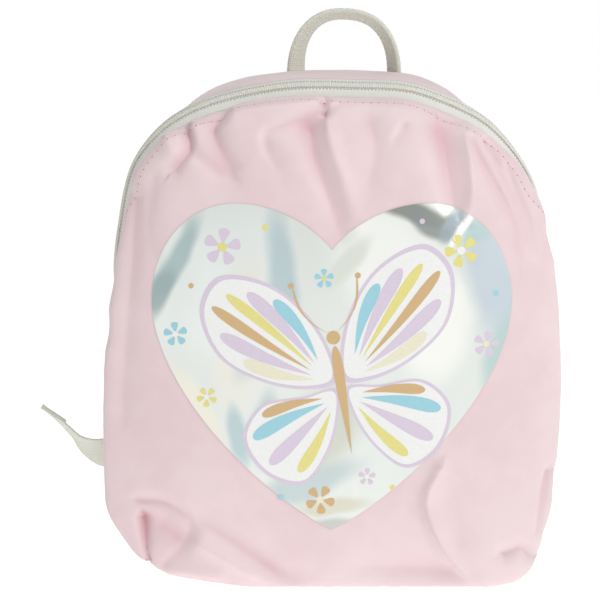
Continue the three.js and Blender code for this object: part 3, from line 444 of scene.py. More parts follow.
# Folds and ridges of the front panel. A fold follows its run, in shares of half the width and of
# the height. reach is its half width and depth how far it sinks, in millimetres; a ridge sinks less
# than nothing. side is the share of the reach on the right of the run, so that a small one makes a
# sharp crease, and tail and flare are the shares of depth and reach that it ends with.
FOLDS = [
    {"run": [(-0.033, 0.945), (-0.024, 0.918)], "reach": 1.6, "depth": 3.2, "side": 1, "tail": 0.3, "flare": 0.8},
    {"run": [(-0.42, 0.918), (-0.25, 0.93), (-0.07, 0.938)], "reach": 6, "depth": -2.4, "side": 1, "tail": 0.7, "flare": 0.7},
    {"run": [(-0.05, 0.93), (-0.18, 0.908), (-0.29, 0.885), (-0.285, 0.855), (-0.244, 0.822)],
     "reach": 6.5, "depth": 3.0, "side": 0.35, "tail": 0.3, "flare": 0.7},
    {"run": [(-0.1, 0.9), (-0.08, 0.85), (-0.02, 0.78), (0.035, 0.71)],
     "reach": 5, "depth": 3.2, "side": 1.1, "tail": 0.5, "flare": 0.9},
    {"run": [(-0.02, 0.91), (-0.01, 0.87), (0.05, 0.79), (0.09, 0.73)],
     "reach": 4, "depth": -2.6, "side": 0.7, "tail": 0.4, "flare": 1.3},
    {"run": [(0.16, 0.905), (0.19, 0.86), (0.16, 0.79)], "reach": 8, "depth": 2.2, "side": 1, "tail": 0.4, "flare": 0.7},
    {"run": [(0.31, 0.9), (0.27, 0.875)], "reach": 3, "depth": 1.6, "side": 0.6, "tail": 0.5, "flare": 1},
    {"run": [(0.475, 0.9), (0.495, 0.85), (0.53, 0.75)], "reach": 10, "depth": 4.2, "side": 0.7, "tail": 0.5, "flare": 0.9},
    {"run": [(0.59, 0.875), (0.6, 0.82), (0.6, 0.75), (0.53, 0.69)],
     "reach": 3.2, "depth": -2.8, "side": 1, "tail": 0.5, "flare": 1.1},
    {"run": [(0.61, 0.875), (0.7, 0.8), (0.78, 0.73), (0.81, 0.65)],
     "reach": 2.2, "depth": 2.6, "side": 1.5, "tail": 0.4, "flare": 1.6},
    {"run": [(0.68, 0.872), (0.76, 0.8), (0.83, 0.73), (0.85, 0.67)],
     "reach": 1.8, "depth": 1.9, "side": 1.4, "tail": 0.4, "flare": 1.5},
    {"run": [(0.77, 0.82), (0.86, 0.72), (0.89, 0.65)], "reach": 1.6, "depth": 1.2, "side": 1.4, "tail": 0.4, "flare": 1.4},
    {"run": [(-0.46, 0.937), (-0.52, 0.9), (-0.5, 0.87), (-0.44, 0.825)],
     "reach": 3.2, "depth": 4.0, "side": 1.5, "tail": 0.6, "flare": 1.8},
    {"run": [(-0.59, 0.845), (-0.5, 0.815)], "reach": 5.5, "depth": 1.7, "side": 0.8, "tail": 0.8, "flare": 1},
    {"run": [(-0.65, 0.905), (-0.625, 0.865), (-0.685, 0.822)],
     "reach": 2.0, "depth": 3.4, "side": 1.6, "tail": 0.9, "flare": 1.6},
    {"run": [(-0.72, 0.868), (-0.7, 0.85)], "reach": 4.5, "depth": -1.8, "side": 1, "tail": 0.8, "flare": 1},
    {"run": [(-0.78, 0.8), (-0.8, 0.7), (-0.75, 0.62)], "reach": 5, "depth": 1.2, "side": 1, "tail": 0.4, "flare": 1.4},
    {"run": [(-0.98, 0.53), (-0.98, 0.47)], "reach": 9, "depth": -1.7, "side": 1, "tail": 0.8, "flare": 1},
    {"run": [(-0.87, 0.76), (-0.88, 0.64), (-0.9, 0.5), (-0.92, 0.34)],
     "reach": 6.5, "depth": 2.1, "side": 0.8, "tail": 0.5, "flare": 1},
    {"run": [(-0.835, 0.145), (-0.825, 0.1), (-0.805, 0.05)], "reach": 4.4, "depth": 4.8, "side": 0.4, "tail": 0.4, "flare": 0.5},
    {"run": [(-0.74, 0.13), (-0.68, 0.11)], "reach": 8, "depth": 2.8, "side": 1, "tail": 1, "flare": 0.9},
    {"run": [(-0.85, 0.18), (-0.74, 0.178), (-0.62, 0.14), (-0.64, 0.1), (-0.73, 0.06)],
     "reach": 3, "depth": 1.8, "side": 0.6, "tail": 0.4, "flare": 1.2},
    {"run": [(-0.17, 0.01), (-0.36, 0.075), (-0.55, 0.135)], "reach": 4.2, "depth": 3.6, "side": 1.5, "tail": 0.5, "flare": 1.1},
    {"run": [(-0.58, 0.1), (-0.42, 0.06), (-0.28, 0.02)], "reach": 4.5, "depth": -2.6, "side": 1, "tail": 0.8, "flare": 1},
    {"run": [(-0.7, 0.045), (-0.5, 0.03)], "reach": 4.5, "depth": -1.6, "side": 1, "tail": 1, "flare": 1},
    {"run": [(0.56, 0.02), (0.35, 0.045), (0.0, 0.05)], "reach": 10, "depth": 3.6, "side": 0.9, "tail": 0.05, "flare": 1.4},
    {"run": [(0.47, 0.25), (0.41, 0.185), (0.47, 0.1), (0.58, 0.035), (0.68, 0.0)],
     "reach": 3.4, "depth": -3.0, "side": 0.6, "tail": 1, "flare": 1.2},
    {"run": [(0.53, 0.2), (0.56, 0.1)], "reach": 8, "depth": 1.4, "side": 1, "tail": 1, "flare": 1.2},
    {"run": [(0.95, 0.235), (0.925, 0.19), (0.905, 0.12)], "reach": 3, "depth": 2.4, "side": 0.6, "tail": 0.5, "flare": 0.8},
    {"run": [(0.76, 0.075), (0.83, 0.085), (0.87, 0.07)], "reach": 4, "depth": 2.4, "side": 0.7, "tail": 0.8, "flare": 1},
]


fold_scale = 1.45


def fold_depth(x, z):
    """How far the folds push a point of the front panel in (above zero) or out."""
    depth = np.zeros(len(x))
    for fold in FOLDS:
        knots = [(across * body_width / 2, up * body_height) for across, up in fold["run"]]
        run = curve_through(knots, closed=False, steps=6)
        shares, _ = along_length(run, closed=False)
        nearest = np.full(len(x), np.inf)
        beside = np.zeros(len(x))
        place = np.zeros(len(x))
        for (ax, az), (bx, bz), start, end in zip(run, run[1:], shares, shares[1:]):
            dx, dz = bx - ax, bz - az
            length = math.hypot(dx, dz)
            along = np.clip(((x - ax) * dx + (z - az) * dz) / length**2, 0, 1)
            distance = np.hypot(x - ax - dx * along, z - az - dz * along)
            closer = distance < nearest
            nearest = np.where(closer, distance, nearest)
            beside = np.where(closer, (x - ax) * dz - (z - az) * dx, beside)
            place = np.where(closer, start + (end - start) * along, place)
        reach = fold["reach"] * 0.001 * (1 + (fold["flare"] - 1) * place)
        reach = reach * (1 + (fold["side"] - 1) * smooth_share(beside, -1e-7, 1e-7))
        depth += fold_scale * fold["depth"] * 0.001 * (1 + (fold["tail"] - 1) * place) * np.exp(-((nearest / reach) ** 1.5))
    return depth


def seam_gathers(shares, way):
    """Small puckers that run in from the seam, where more cloth is sewn to less."""
    turns = 2 * math.pi * shares
    wave = np.sin(63 * turns + 2 * np.sin(7 * turns)) + 0.7 * np.sin(107 * turns + 1.3 * np.sin(11 * turns + 1))
    held = 0.5 + 0.5 * np.sin(5 * turns + 0.6) * np.sin(3 * turns + 2.1)
    return 0.00035 * wave * held * np.exp(-way / 0.06) * smooth_share(way, 0, 0.02)


def grid_normals(points):
    """Normals of a square grid of points, pointing to the grid's left-hand side."""
    down = np.gradient(points, axis=0)
    across = np.gradient(points, axis=1)
    normals = np.cross(across, down)
    return normals / np.maximum(np.linalg.norm(normals, axis=2), 1e-12)[:, :, None]


panel_cells = 200
cell_places = np.linspace(-1, 1, panel_cells + 1)
cell_u, cell_v = np.meshgrid(cell_places, cell_places)
ring = np.maximum(abs(cell_u), abs(cell_v))
safe_ring = np.maximum(ring, 1e-9)
quarter = np.where(
    abs(cell_v) >= abs(cell_u),
    np.where(cell_v < 0, cell_u / safe_ring / 8, 0.5 - cell_u / safe_ring / 8),
    np.where(cell_u > 0, 0.25 + cell_v / safe_ring / 8, 0.75 - cell_v / safe_ring / 8),
)
panel_rim = Rim(quarter.ravel())
panel_way = (1 - ring).ravel()
panel_points = crowned(panel_rim, panel_way)
panel_grid = panel_points.reshape(panel_cells + 1, panel_cells + 1, 3)
panel_normals = grid_normals(panel_grid).reshape(-1, 3)
if panel_normals[len(panel_normals) // 2][1] > 0:
    panel_normals = -panel_normals
calm = smooth_share(panel_way, 0.0, 0.1) * smooth_share(panel_points[:, 2], 0.002, 0.014)
push = fold_depth(panel_points[:, 0], panel_points[:, 2]) * calm - seam_gathers(panel_rim.shares, panel_way)
panel_points = panel_points - panel_normals * push[:, None]
panel_points[:, 2] = np.maximum(panel_points[:, 2], cloth_thickness)


def new_piece(name, points, faces, smooth=True):
    """A mesh object from points and faces, at the origin."""
    mesh = bpy.data.meshes.new(name)
    mesh.from_pydata([tuple(p) for p in points], [], faces)
    mesh.validate()
    if smooth:
        mesh.shade_smooth()
    piece = bpy.data.objects.new(name, mesh)
    bpy.context.scene.collection.objects.link(piece)
    return piece


def grid_faces(rows, columns, round_rows=False, round_columns=False):
    """Quads of a grid of points, closed round its rows or its columns where asked."""
    faces = []
    for r in range(rows if round_rows else rows - 1):
        below = (r + 1) % rows * columns
        for c in range(columns if round_columns else columns - 1):
            n = (c + 1) % columns
            faces.append((r * columns + c, r * columns + n, below + n, below + c))
    return faces


def apply_modifiers(piece):
    """The piece with its modifiers worked in, as a plain mesh."""
    bpy.context.view_layer.update()
    evaluated = piece.evaluated_get(bpy.context.evaluated_depsgraph_get())
    mesh = bpy.data.meshes.new_from_object(evaluated)
    mesh.name = piece.name
    piece.modifiers.clear()
    piece.data = mesh
    return piece


def facing_out(piece, crease=40):
    """Turns a closed piece's faces outwards, and keeps its edges sharp where they bend more than crease."""
    work = bmesh.new()
    work.from_mesh(piece.data)
    bmesh.ops.recalc_face_normals(work, faces=work.faces)
    for edge in work.edges:
        edge.smooth = len(edge.link_faces) != 2 or edge.calc_face_angle(0) < math.radians(crease)
    work.to_mesh(piece.data)
    work.free()
    return piece


def finished(piece, finish, slot, *nodes):
    """Gives a piece its material and its place in the frame."""
    piece.data.materials.clear()
    piece.data.materials.append(finish.data)
    if nodes:
        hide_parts(*nodes)
    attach(piece, "root")
    return piece


pink_cloth = Finish(
    "pink_cloth", Roughness=0.42, Specular_IOR_Level=0.5, Sheen_Weight=0.25, Sheen_Roughness=0.4,
    Coat_Weight=0.12, Coat_Roughness=0.28,
)
cloth_place = pink_cloth.place()
soft_patches = pink_cloth.noise(cloth_place, 14, 3)
fine_patches = pink_cloth.noise(cloth_place, 90, 3)
cloth_colour = pink_cloth.mix(
    pink_cloth.between(soft_patches * 0.7 + fine_patches * 0.3, 0.35, 0.65),
    rgba(233, 208, 211), rgba(238, 217, 219),
)
# Painted shade: the cloth is coloured a deeper pink where the folds sink in deepest, in their creases and hollows, by
# their depth.
hollow = pink_cloth.node("ShaderNodeAttribute", {"attribute_name": "hollow"}, output=2)
pink_cloth.feed("Base Color", pink_cloth.mix(
    pink_cloth.between(hollow, 0.4, 10) * 0.95, cloth_colour, rgba(222, 168, 175),
))
threads_across = pink_cloth.node(
    "ShaderNodeTexWave", {"bands_direction": "X"}, Vector=cloth_place, Scale=620.0, Distortion=0.6,
)
threads_up = pink_cloth.node(
    "ShaderNodeTexWave", {"bands_direction": "Z"}, Vector=cloth_place, Scale=620.0, Distortion=0.6,
)
weave = pink_cloth.bump(threads_across * threads_up, 0.12, 0.0002)
crumple = pink_cloth.noise(cloth_place, 55, 4, 0.6)
pink_cloth.feed("Normal", pink_cloth.bump(crumple, 0.22, 0.0012, weave))
pink_cloth.feed("Roughness", 0.38 + 0.12 * soft_patches)

front_panel = new_piece(
    "front_panel_cloth", panel_points, grid_faces(panel_cells + 1, panel_cells + 1),
)
panel_mesh = front_panel.data
# The folds' depth in millimetres, which sets the painted shade in the cloth's creases.
panel_mesh.attributes.new("hollow", "FLOAT", "POINT").data.foreach_set("value", push * 1000)
if sum(polygon.normal.y for polygon in panel_mesh.polygons) > 0:
    panel_mesh.flip_normals()
thicken = front_panel.modifiers.new("thickness", "SOLIDIFY")
thicken.thickness = cloth_thickness
thicken.offset = -1
apply_modifiers(front_panel)
front_panel.data.shade_smooth()
finished(front_panel, pink_cloth, "pink_cloth", "front_panel")

panel_surface = BVHTree.FromPolygons(
    [v.co.copy() for v in front_panel.data.vertices],
    [tuple(p.vertices) for p in front_panel.data.polygons],
)


def depth_at(x, z):
    """How far back the front panel lies at a place of the front view."""
    place, normal, index, distance = panel_surface.ray_cast(Vector((x, -0.3, z)), Vector((0, 1, 0)))
    return place.y if place else crown_point[1]


# The heart is a thin silver film, heat-pressed onto the panel, so that it takes all its folds.
heart_width = 0.1845
heart_height = 0.168
heart_tip = 0.034
film_thickness = 0.00012
film_lift = 0.00028


def bezier(start, first, second, end, steps=14):
    share = np.linspace(0, 1, steps, endpoint=False)[:, None]
    start, first, second, end = (np.array(p, float) for p in (start, first, second, end))
    back = 1 - share
    return start * back**3 + 3 * first * back**2 * share + 3 * second * back * share**2 + end * share**3


heart_half = np.concatenate([
    bezier((0, 0), (0.18, 0.1), (0.5, 0.43), (0.5, 0.707), 40),
    bezier((0.5, 0.707), (0.5, 0.87), (0.4, 1), (0.268, 1), 24),
    bezier((0.268, 1), (0.16, 1), (0.06, 0.94), (0, 0.86), 24),
])
heart_outline = np.concatenate([heart_half, [(0, 0.86)], heart_half[:0:-1] * (-1, 1)])
heart_outline = heart_outline * (heart_width, heart_height) + (0, heart_tip)


def film(name, outlines, spacing, lift, thickness):
    """A thin film on the front panel, cut to closed outlines in the front view."""
    points, faces = [], []
    for outline in outlines:
        low, high = outline.min(axis=0), outline.max(axis=0)
        inner = [
            Vector((x, z)) for x in np.arange(low[0], high[0], spacing) for z in np.arange(low[1], high[1], spacing)
        ]
        edge = [Vector(p) for p in outline]
        loop = [(i, (i + 1) % len(edge)) for i in range(len(edge))]
        flat, _, cells, *_ = delaunay_2d_cdt(edge + inner, loop, [list(range(len(edge)))], 1, 1e-6)
        start = len(points)
        count = len(flat)
        depths = [depth_at(p.x, p.y) for p in flat]
        points += [(p.x, y - lift - thickness, p.y) for p, y in zip(flat, depths)]
        points += [(p.x, y - lift, p.y) for p, y in zip(flat, depths)]
        sides = {}
        for cell in cells:
            for a, b in zip(cell, (*cell[1:], cell[0])):
                sides[(a, b)] = True
        faces += [tuple(start + i for i in cell) for cell in cells]
        faces += [tuple(start + count + i for i in reversed(cell)) for cell in cells]
        faces += [
            (start + b, start + a, start + count + a, start + count + b) for a, b in sides if (b, a) not in sides
        ]
    return facing_out(new_piece(name, points, faces))


# Reflections on the foil are painted into its colour in broad zones, bright glints and dark mirrored streaks: centre
# and half lengths in metres on the front view, the turn of the long way from level, and a colour.
PAINTED_REFLECTIONS = [
    {"x": -0.048, "z": 0.165, "turn": 90, "long": 0.06, "broad": 0.03, "colour": (233, 239, 236)},
    {"x": -0.047, "z": 0.135, "turn": 85, "long": 0.045, "broad": 0.016, "colour": (236, 233, 222)},
    {"x": -0.082, "z": 0.172, "turn": 64, "long": 0.032, "broad": 0.0068, "colour": (166, 188, 189)},
    {"x": -0.088, "z": 0.156, "turn": 74, "long": 0.017, "broad": 0.0055, "colour": (158, 176, 176)},
    {"x": -0.026, "z": 0.163, "turn": 96, "long": 0.042, "broad": 0.0095, "colour": (186, 205, 210)},
    {"x": -0.037, "z": 0.13, "turn": 62, "long": 0.024, "broad": 0.009, "colour": (198, 212, 214)},
    {"x": 0.034, "z": 0.166, "turn": 120, "long": 0.055, "broad": 0.03, "colour": (247, 248, 243)},
    {"x": 0.052, "z": 0.14, "turn": 90, "long": 0.035, "broad": 0.022, "colour": (246, 246, 240)},
    {"x": 0.083, "z": 0.165, "turn": 100, "long": 0.042, "broad": 0.017, "colour": (198, 210, 219)},
    {"x": 0.089, "z": 0.125, "turn": 75, "long": 0.03, "broad": 0.012, "colour": (186, 210, 208)},
    {"x": 0.076, "z": 0.188, "turn": 25, "long": 0.015, "broad": 0.007, "colour": (186, 212, 208)},
    {"x": 0.043, "z": 0.198, "turn": -14, "long": 0.03, "broad": 0.0055, "colour": (134, 139, 128)},
    {"x": 0.051, "z": 0.192, "turn": -38, "long": 0.017, "broad": 0.006, "colour": (146, 152, 150)},
    {"x": 0.062, "z": 0.191, "turn": 60, "long": 0.012, "broad": 0.005, "colour": (176, 190, 198)},
    {"x": 0.0665, "z": 0.19, "turn": 58, "long": 0.016, "broad": 0.0024, "colour": (255, 255, 252)},
    {"x": 0.008, "z": 0.172, "turn": 48, "long": 0.02, "broad": 0.006, "colour": (222, 227, 216)},
    {"x": -0.047, "z": 0.082, "turn": 100, "long": 0.02, "broad": 0.006, "colour": (184, 206, 208)},
    {"x": -0.034, "z": 0.086, "turn": 85, "long": 0.022, "broad": 0.007, "colour": (180, 200, 202)},
    {"x": -0.07, "z": 0.098, "turn": 125, "long": 0.03, "broad": 0.008, "colour": (238, 235, 219)},
    {"x": -0.005, "z": 0.085, "turn": 60, "long": 0.032, "broad": 0.02, "colour": (207, 211, 197)},
    {"x": -0.012, "z": 0.058, "turn": 20, "long": 0.034, "broad": 0.009, "colour": (193, 207, 207)},
    {"x": 0.0, "z": 0.047, "turn": 5, "long": 0.024, "broad": 0.005, "colour": (214, 212, 193)},
    {"x": 0.0, "z": 0.037, "turn": 0, "long": 0.02, "broad": 0.005, "colour": (194, 197, 190)},
    {"x": 0.05, "z": 0.075, "turn": 45, "long": 0.03, "broad": 0.014, "colour": (226, 230, 226)},
]
silver_foil = Finish("silver_foil", Metallic=0.55, Roughness=0.3)
foil_place = silver_foil.place()
ripple = silver_foil.node("ShaderNodeTexNoise", {}, Vector=foil_place, Scale=26.0, Detail=2.0, output=1)
foil_warped = silver_foil.node(
    "ShaderNodeVectorMath", {"operation": "MULTIPLY_ADD"}, ripple, (0.011, 0, 0.011), foil_place,
)
streaks = silver_foil.noise(silver_foil.place(scale=(1, 0.2, 0.3), turn=(0, 0.25, 0)), 55, 3)
foil_colour = silver_foil.mix(streaks, rgba(222, 229, 225), rgba(233, 235, 230))
# Each zone paints a reflection, light or dark, into the foil's colour.
for zone in PAINTED_REFLECTIONS:
    inside = silver_foil.node(
        "ShaderNodeMapping", {"vector_type": "TEXTURE"}, foil_warped,
        (zone["x"] + 0.0055, 0, zone["z"] + 0.0055), (0, -math.radians(zone["turn"]), 0),
        (zone["long"], 10, zone["broad"]),
    )
    away = silver_foil.node("ShaderNodeVectorMath", {"operation": "LENGTH"}, inside, output=1)
    held = 1 - silver_foil.between(away, 0.45, 1.15)
    foil_colour = silver_foil.mix(held * 0.9, foil_colour, rgba(*zone["colour"]))
silver_foil.feed("Base Color", foil_colour)
silver_foil.feed("Roughness", 0.26 + 0.14 * silver_foil.noise(foil_place, 40, 2))
silver_foil.feed("Normal", silver_foil.bump(silver_foil.noise(foil_place, 150, 3), 0.05, 0.0005))

heart_foil = film("heart_foil_film", [heart_outline], 0.0013, film_lift, film_thickness)
finished(heart_foil, silver_foil, "silver_foil", "heart_foil")

# The foil is screen-printed in flat pale inks, one layer over another: a large butterfly, a little
# tilted, and small flowers round it.
INKS = {
    "white": (245, 246, 244),
    "lilac": (222, 208, 225),
    "aqua": (160, 213, 226),
    "ochre": (214, 181, 131),
    "yellow": (233, 225, 141),
    "cream": (239, 234, 208),
}
butterfly = {"x": 0.004, "z": 0.113, "tilt": 9, "size": 0.064}
UPPER_WING = [(0.03, -0.02), (0.1, 0.4), (0.42, 0.82), (0.84, 0.95), (1.02, 0.72), (0.93, 0.32), (0.6, 0.06), (0.25, -0.05)]
LOWER_WING = [(0.04, -0.08), (0.3, -0.1), (0.66, -0.12), (0.84, -0.36), (0.7, -0.68), (0.42, -0.8), (0.2, -0.6), (0.06, -0.3)]
WING_CELLS = [
    {"root": (0.15, 0.17), "end": (0.42, 0.7), "broad": 0.12, "bend": 0.03, "ink": "aqua"},
    {"root": (0.18, 0.15), "end": (0.62, 0.79), "broad": 0.13, "bend": 0.02, "ink": "lilac"},
    {"root": (0.2, 0.13), "end": (0.79, 0.8), "broad": 0.1, "bend": 0.01, "ink": "yellow"},
    {"root": (0.22, 0.1), "end": (0.92, 0.72), "broad": 0.1, "bend": -0.01, "ink": "ochre"},
    {"root": (0.22, 0.06), "end": (0.89, 0.49), "broad": 0.13, "bend": -0.02, "ink": "lilac"},
    {"root": (0.2, 0.02), "end": (0.74, 0.25), "broad": 0.12, "bend": -0.03, "ink": "cream"},
    {"root": (0.16, -0.14), "end": (0.66, -0.2), "broad": 0.1, "bend": 0.02, "ink": "ochre"},
    {"root": (0.15, -0.18), "end": (0.76, -0.37), "broad": 0.13, "bend": 0.02, "ink": "aqua"},
    {"root": (0.13, -0.21), "end": (0.66, -0.6), "broad": 0.13, "bend": 0.0, "ink": "lilac"},
    {"root": (0.11, -0.25), "end": (0.44, -0.7), "broad": 0.11, "bend": -0.02, "ink": "yellow"},
]
FLOWERS = [
    {"x": -0.056, "z": 0.18, "size": 0.0095, "turn": 10, "petals": "lilac", "heart": "yellow"},
    {"x": 0.066, "z": 0.178, "size": 0.0085, "turn": 40, "petals": "yellow", "heart": "white"},
    {"x": -0.08, "z": 0.135, "size": 0.0062, "turn": 25, "petals": "aqua", "heart": "white"},
    {"x": 0.079, "z": 0.13, "size": 0.0066, "turn": 5, "petals": "lilac", "heart": "cream"},
    {"x": -0.064, "z": 0.103, "size": 0.0052, "turn": 50, "petals": "yellow", "heart": "white"},
    {"x": -0.004, "z": 0.164, "size": 0.005, "turn": 20, "petals": "aqua", "heart": "yellow"},
    {"x": -0.006, "z": 0.05, "size": 0.0075, "turn": 60, "petals": "ochre", "heart": "cream"},
    {"x": 0.018, "z": 0.062, "size": 0.0045, "turn": 15, "petals": "lilac", "heart": "white"},
]
DOTS = [
    {"x": -0.034, "z": 0.19, "size": 0.0016, "ink": "yellow"},
    {"x": -0.072, "z": 0.16, "size": 0.0014, "ink": "ochre"},
    {"x": 0.084, "z": 0.156, "size": 0.0016, "ink": "aqua"},
    {"x": 0.046, "z": 0.193, "size": 0.0014, "ink": "lilac"},
    {"x": 0.031, "z": 0.0565, "size": 0.0014, "ink": "yellow"},
    {"x": -0.026, "z": 0.0515, "size": 0.0015, "ink": "aqua"},
]
rim_share = 0.93
ink_thickness = 0.00004
ink_step = 0.00008


def teardrop(root, end, broad, bend=0.0, steps=16):
    """A closed drop from a sharp root to a round end, bent to its left."""
    share = np.sin(np.linspace(0, math.pi / 2, steps))
    half = broad * 0.62 * share**0.9 * np.sqrt(np.maximum(1 - share**5, 0))
    root, end = np.array(root, float), np.array(end, float)
    way = (end - root) / np.linalg.norm(end - root)
    left = np.array([-way[1], way[0]])
    spine = root + (end - root) * share[:, None] + left * (bend * np.sin(math.pi * share))[:, None]
    there = spine + left * half[:, None]
    back = spine - left * half[:, None]
    return np.concatenate([there, back[-2:0:-1]])


def disc(centre, radius, steps=22):
    angles = np.linspace(0, 2 * math.pi, steps, endpoint=False)
    return np.array(centre) + radius * np.stack([np.cos(angles), np.sin(angles)], axis=1)


def placed(outline, motif, mirrored=False):
    """An outline of the butterfly, brought to its place on the foil."""
    tilt = math.radians(motif["tilt"])
    points = np.array(outline) * (-1 if mirrored else 1, 1) * motif["size"]
    turned = np.stack([
        points[:, 0] * math.cos(tilt) - points[:, 1] * math.sin(tilt),
        points[:, 0] * math.sin(tilt) + points[:, 1] * math.cos(tilt),
    ], axis=1)
    return turned + (motif["x"], motif["z"])


def shrunk(outline, share):
    middle = outline.mean(axis=0)
    return middle + (outline - middle) * share


PRINT = []
for mirrored in (False, True):
    for wing in (UPPER_WING, LOWER_WING):
        edge = curve_through(wing, closed=True, steps=9)
        PRINT.append({"ink": "lilac", "layer": 0, "outline": placed(edge, butterfly, mirrored)})
        PRINT.append({"ink": "white", "layer": 1, "outline": placed(shrunk(edge, rim_share), butterfly, mirrored)})
    for cell in WING_CELLS:
        outline = placed(teardrop(cell["root"], cell["end"], cell["broad"], cell["bend"]), butterfly, mirrored)
        PRINT.append({"ink": cell["ink"], "layer": 2, "outline": outline})
    feeler = teardrop((0.02, 0.36), (0.26, 0.78), 0.022, -0.07)
    PRINT.append({"ink": "ochre", "layer": 1, "outline": placed(feeler, butterfly, mirrored)})
    PRINT.append({"ink": "ochre", "layer": 2, "outline": placed(disc((0.27, 0.79), 0.024), butterfly, mirrored)})
body = teardrop((0, -0.62), (0, 0.26), 0.1)
PRINT.append({"ink": "ochre", "layer": 2, "outline": placed(body, butterfly)})
PRINT.append({"ink": "ochre", "layer": 2, "outline": placed(disc((0, 0.33), 0.055), butterfly)})
for flower in FLOWERS:
    centre = np.array([flower["x"], flower["z"]])
    for petal in range(5):
        angle = math.radians(flower["turn"] + 72 * petal)
        way = np.array([math.cos(angle), math.sin(angle)])
        outline = teardrop(centre + way * flower["size"] * 0.18, centre + way * flower["size"], flower["size"] * 0.72)
        PRINT.append({"ink": flower["petals"], "layer": 0, "outline": outline})
    PRINT.append({"ink": flower["heart"], "layer": 1, "outline": disc(centre, flower["size"] * 0.25)})
for dot in DOTS:
    PRINT.append({"ink": dot["ink"], "layer": 0, "outline": disc((dot["x"], dot["z"]), dot["size"])})

heart_print = None
for ink, colour in INKS.items():
    finish = Finish("print_" + ink, Roughness=0.42, Coat_Weight=0.1, Coat_Roughness=0.3)
    speckle = finish.noise(finish.place(), 900, 3)
    worn = tuple(c * 0.985 for c in colour)
    finish.feed("Base Color", finish.mix(finish.between(speckle, 0.42, 0.62), rgba(*worn), rgba(*colour)))
    finish.feed("Normal", finish.bump(speckle, 0.04, 0.0001))
    for layer in range(3):
        outlines = [row["outline"] for row in PRINT if row["ink"] == ink and row["layer"] == layer]
        if not outlines:
            continue
        lift = film_lift + film_thickness + 0.00006 + layer * ink_step
        part = film("ink_layer", outlines, 0.0016, lift, ink_thickness)
        part.data.materials.append(finish.data)
        if heart_print is None:
            heart_print = part
            heart_print.name = "heart_print_film"
            continue
        with bpy.context.temp_override(
            active_object=heart_print, selected_editable_objects=[heart_print, part],
        ):
            bpy.ops.object.join()
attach(heart_print, "root")

# The panel is topstitched along the zip, a little inside the seam, with pink thread.
stitch_pitch = 0.004
stitch_inside = 0.0018
stitch_thread = 0.0005


def unit(vector):
    return Vector(vector).normalized()


def repeated(name, places, ways, normals, sizes, finish):
    """One small rounded body at each place, long way first, by Geometry Nodes."""
    mesh = bpy.data.meshes.new(name)
    mesh.from_pydata([tuple(p) for p in places], [], [])
    for label, vectors in (("way", ways), ("face_normal", normals)):
        mesh.attributes.new(label, "FLOAT_VECTOR", "POINT").data.foreach_set("vector", np.array(vectors, float).ravel())
    piece = bpy.data.objects.new(name, mesh)
    bpy.context.scene.collection.objects.link(piece)
    tree = bpy.data.node_groups.new(name, "GeometryNodeTree")
    tree.interface.new_socket("Places", in_out="INPUT", socket_type="NodeSocketGeometry")
    labels = ("Length", "Breadth", "Height")
    sockets = [tree.interface.new_socket(label, in_out="INPUT", socket_type="NodeSocketFloat") for label in labels]
    tree.interface.new_socket("Bodies", in_out="OUTPUT", socket_type="NodeSocketGeometry")
    given = tree.nodes.new("NodeGroupInput")
    ball = tree.nodes.new("GeometryNodeMeshUVSphere")
    ball.inputs["Segments"].default_value = 8
    ball.inputs["Rings"].default_value = 6
    ball.inputs["Radius"].default_value = 0.5
    shape = tree.nodes.new("ShaderNodeCombineXYZ")
    scaled = tree.nodes.new("GeometryNodeTransform")
    smooth = tree.nodes.new("GeometryNodeSetShadeSmooth")
    along = tree.nodes.new("GeometryNodeInputNamedAttribute")
    along.data_type = "FLOAT_VECTOR"
    along.inputs["Name"].default_value = "way"
    upward = tree.nodes.new("GeometryNodeInputNamedAttribute")
    upward.data_type = "FLOAT_VECTOR"
    upward.inputs["Name"].default_value = "face_normal"
    turn = tree.nodes.new("FunctionNodeAxesToRotation")
    turn.primary_axis = "X"
    turn.secondary_axis = "Z"
    copies = tree.nodes.new("GeometryNodeInstanceOnPoints")
    real = tree.nodes.new("GeometryNodeRealizeInstances")
    coloured = tree.nodes.new("GeometryNodeSetMaterial")
    coloured.inputs["Material"].default_value = finish.data
    result = tree.nodes.new("NodeGroupOutput")
    for start, end in [
        (given.outputs["Length"], shape.inputs["X"]),
        (given.outputs["Breadth"], shape.inputs["Y"]),
        (given.outputs["Height"], shape.inputs["Z"]),
        (ball.outputs["Mesh"], scaled.inputs["Geometry"]),
        (shape.outputs["Vector"], scaled.inputs["Scale"]),
        (scaled.outputs["Geometry"], smooth.inputs["Geometry"]),
        (smooth.outputs["Geometry"], copies.inputs["Instance"]),
        (given.outputs["Places"], copies.inputs["Points"]),
        (along.outputs["Attribute"], turn.inputs["Primary Axis"]),
        (upward.outputs["Attribute"], turn.inputs["Secondary Axis"]),
        (turn.outputs["Rotation"], copies.inputs["Rotation"]),
        (copies.outputs["Instances"], real.inputs["Geometry"]),
        (real.outputs["Geometry"], coloured.inputs["Geometry"]),
        (coloured.outputs["Geometry"], result.inputs["Bodies"]),
    ]:
        tree.links.new(start, end)
    modifier = piece.modifiers.new("repeat", "NODES")
    modifier.node_group = tree
    for socket, size in zip(sockets, sizes):
        modifier[socket.identifier] = size
    return apply_modifiers(piece)


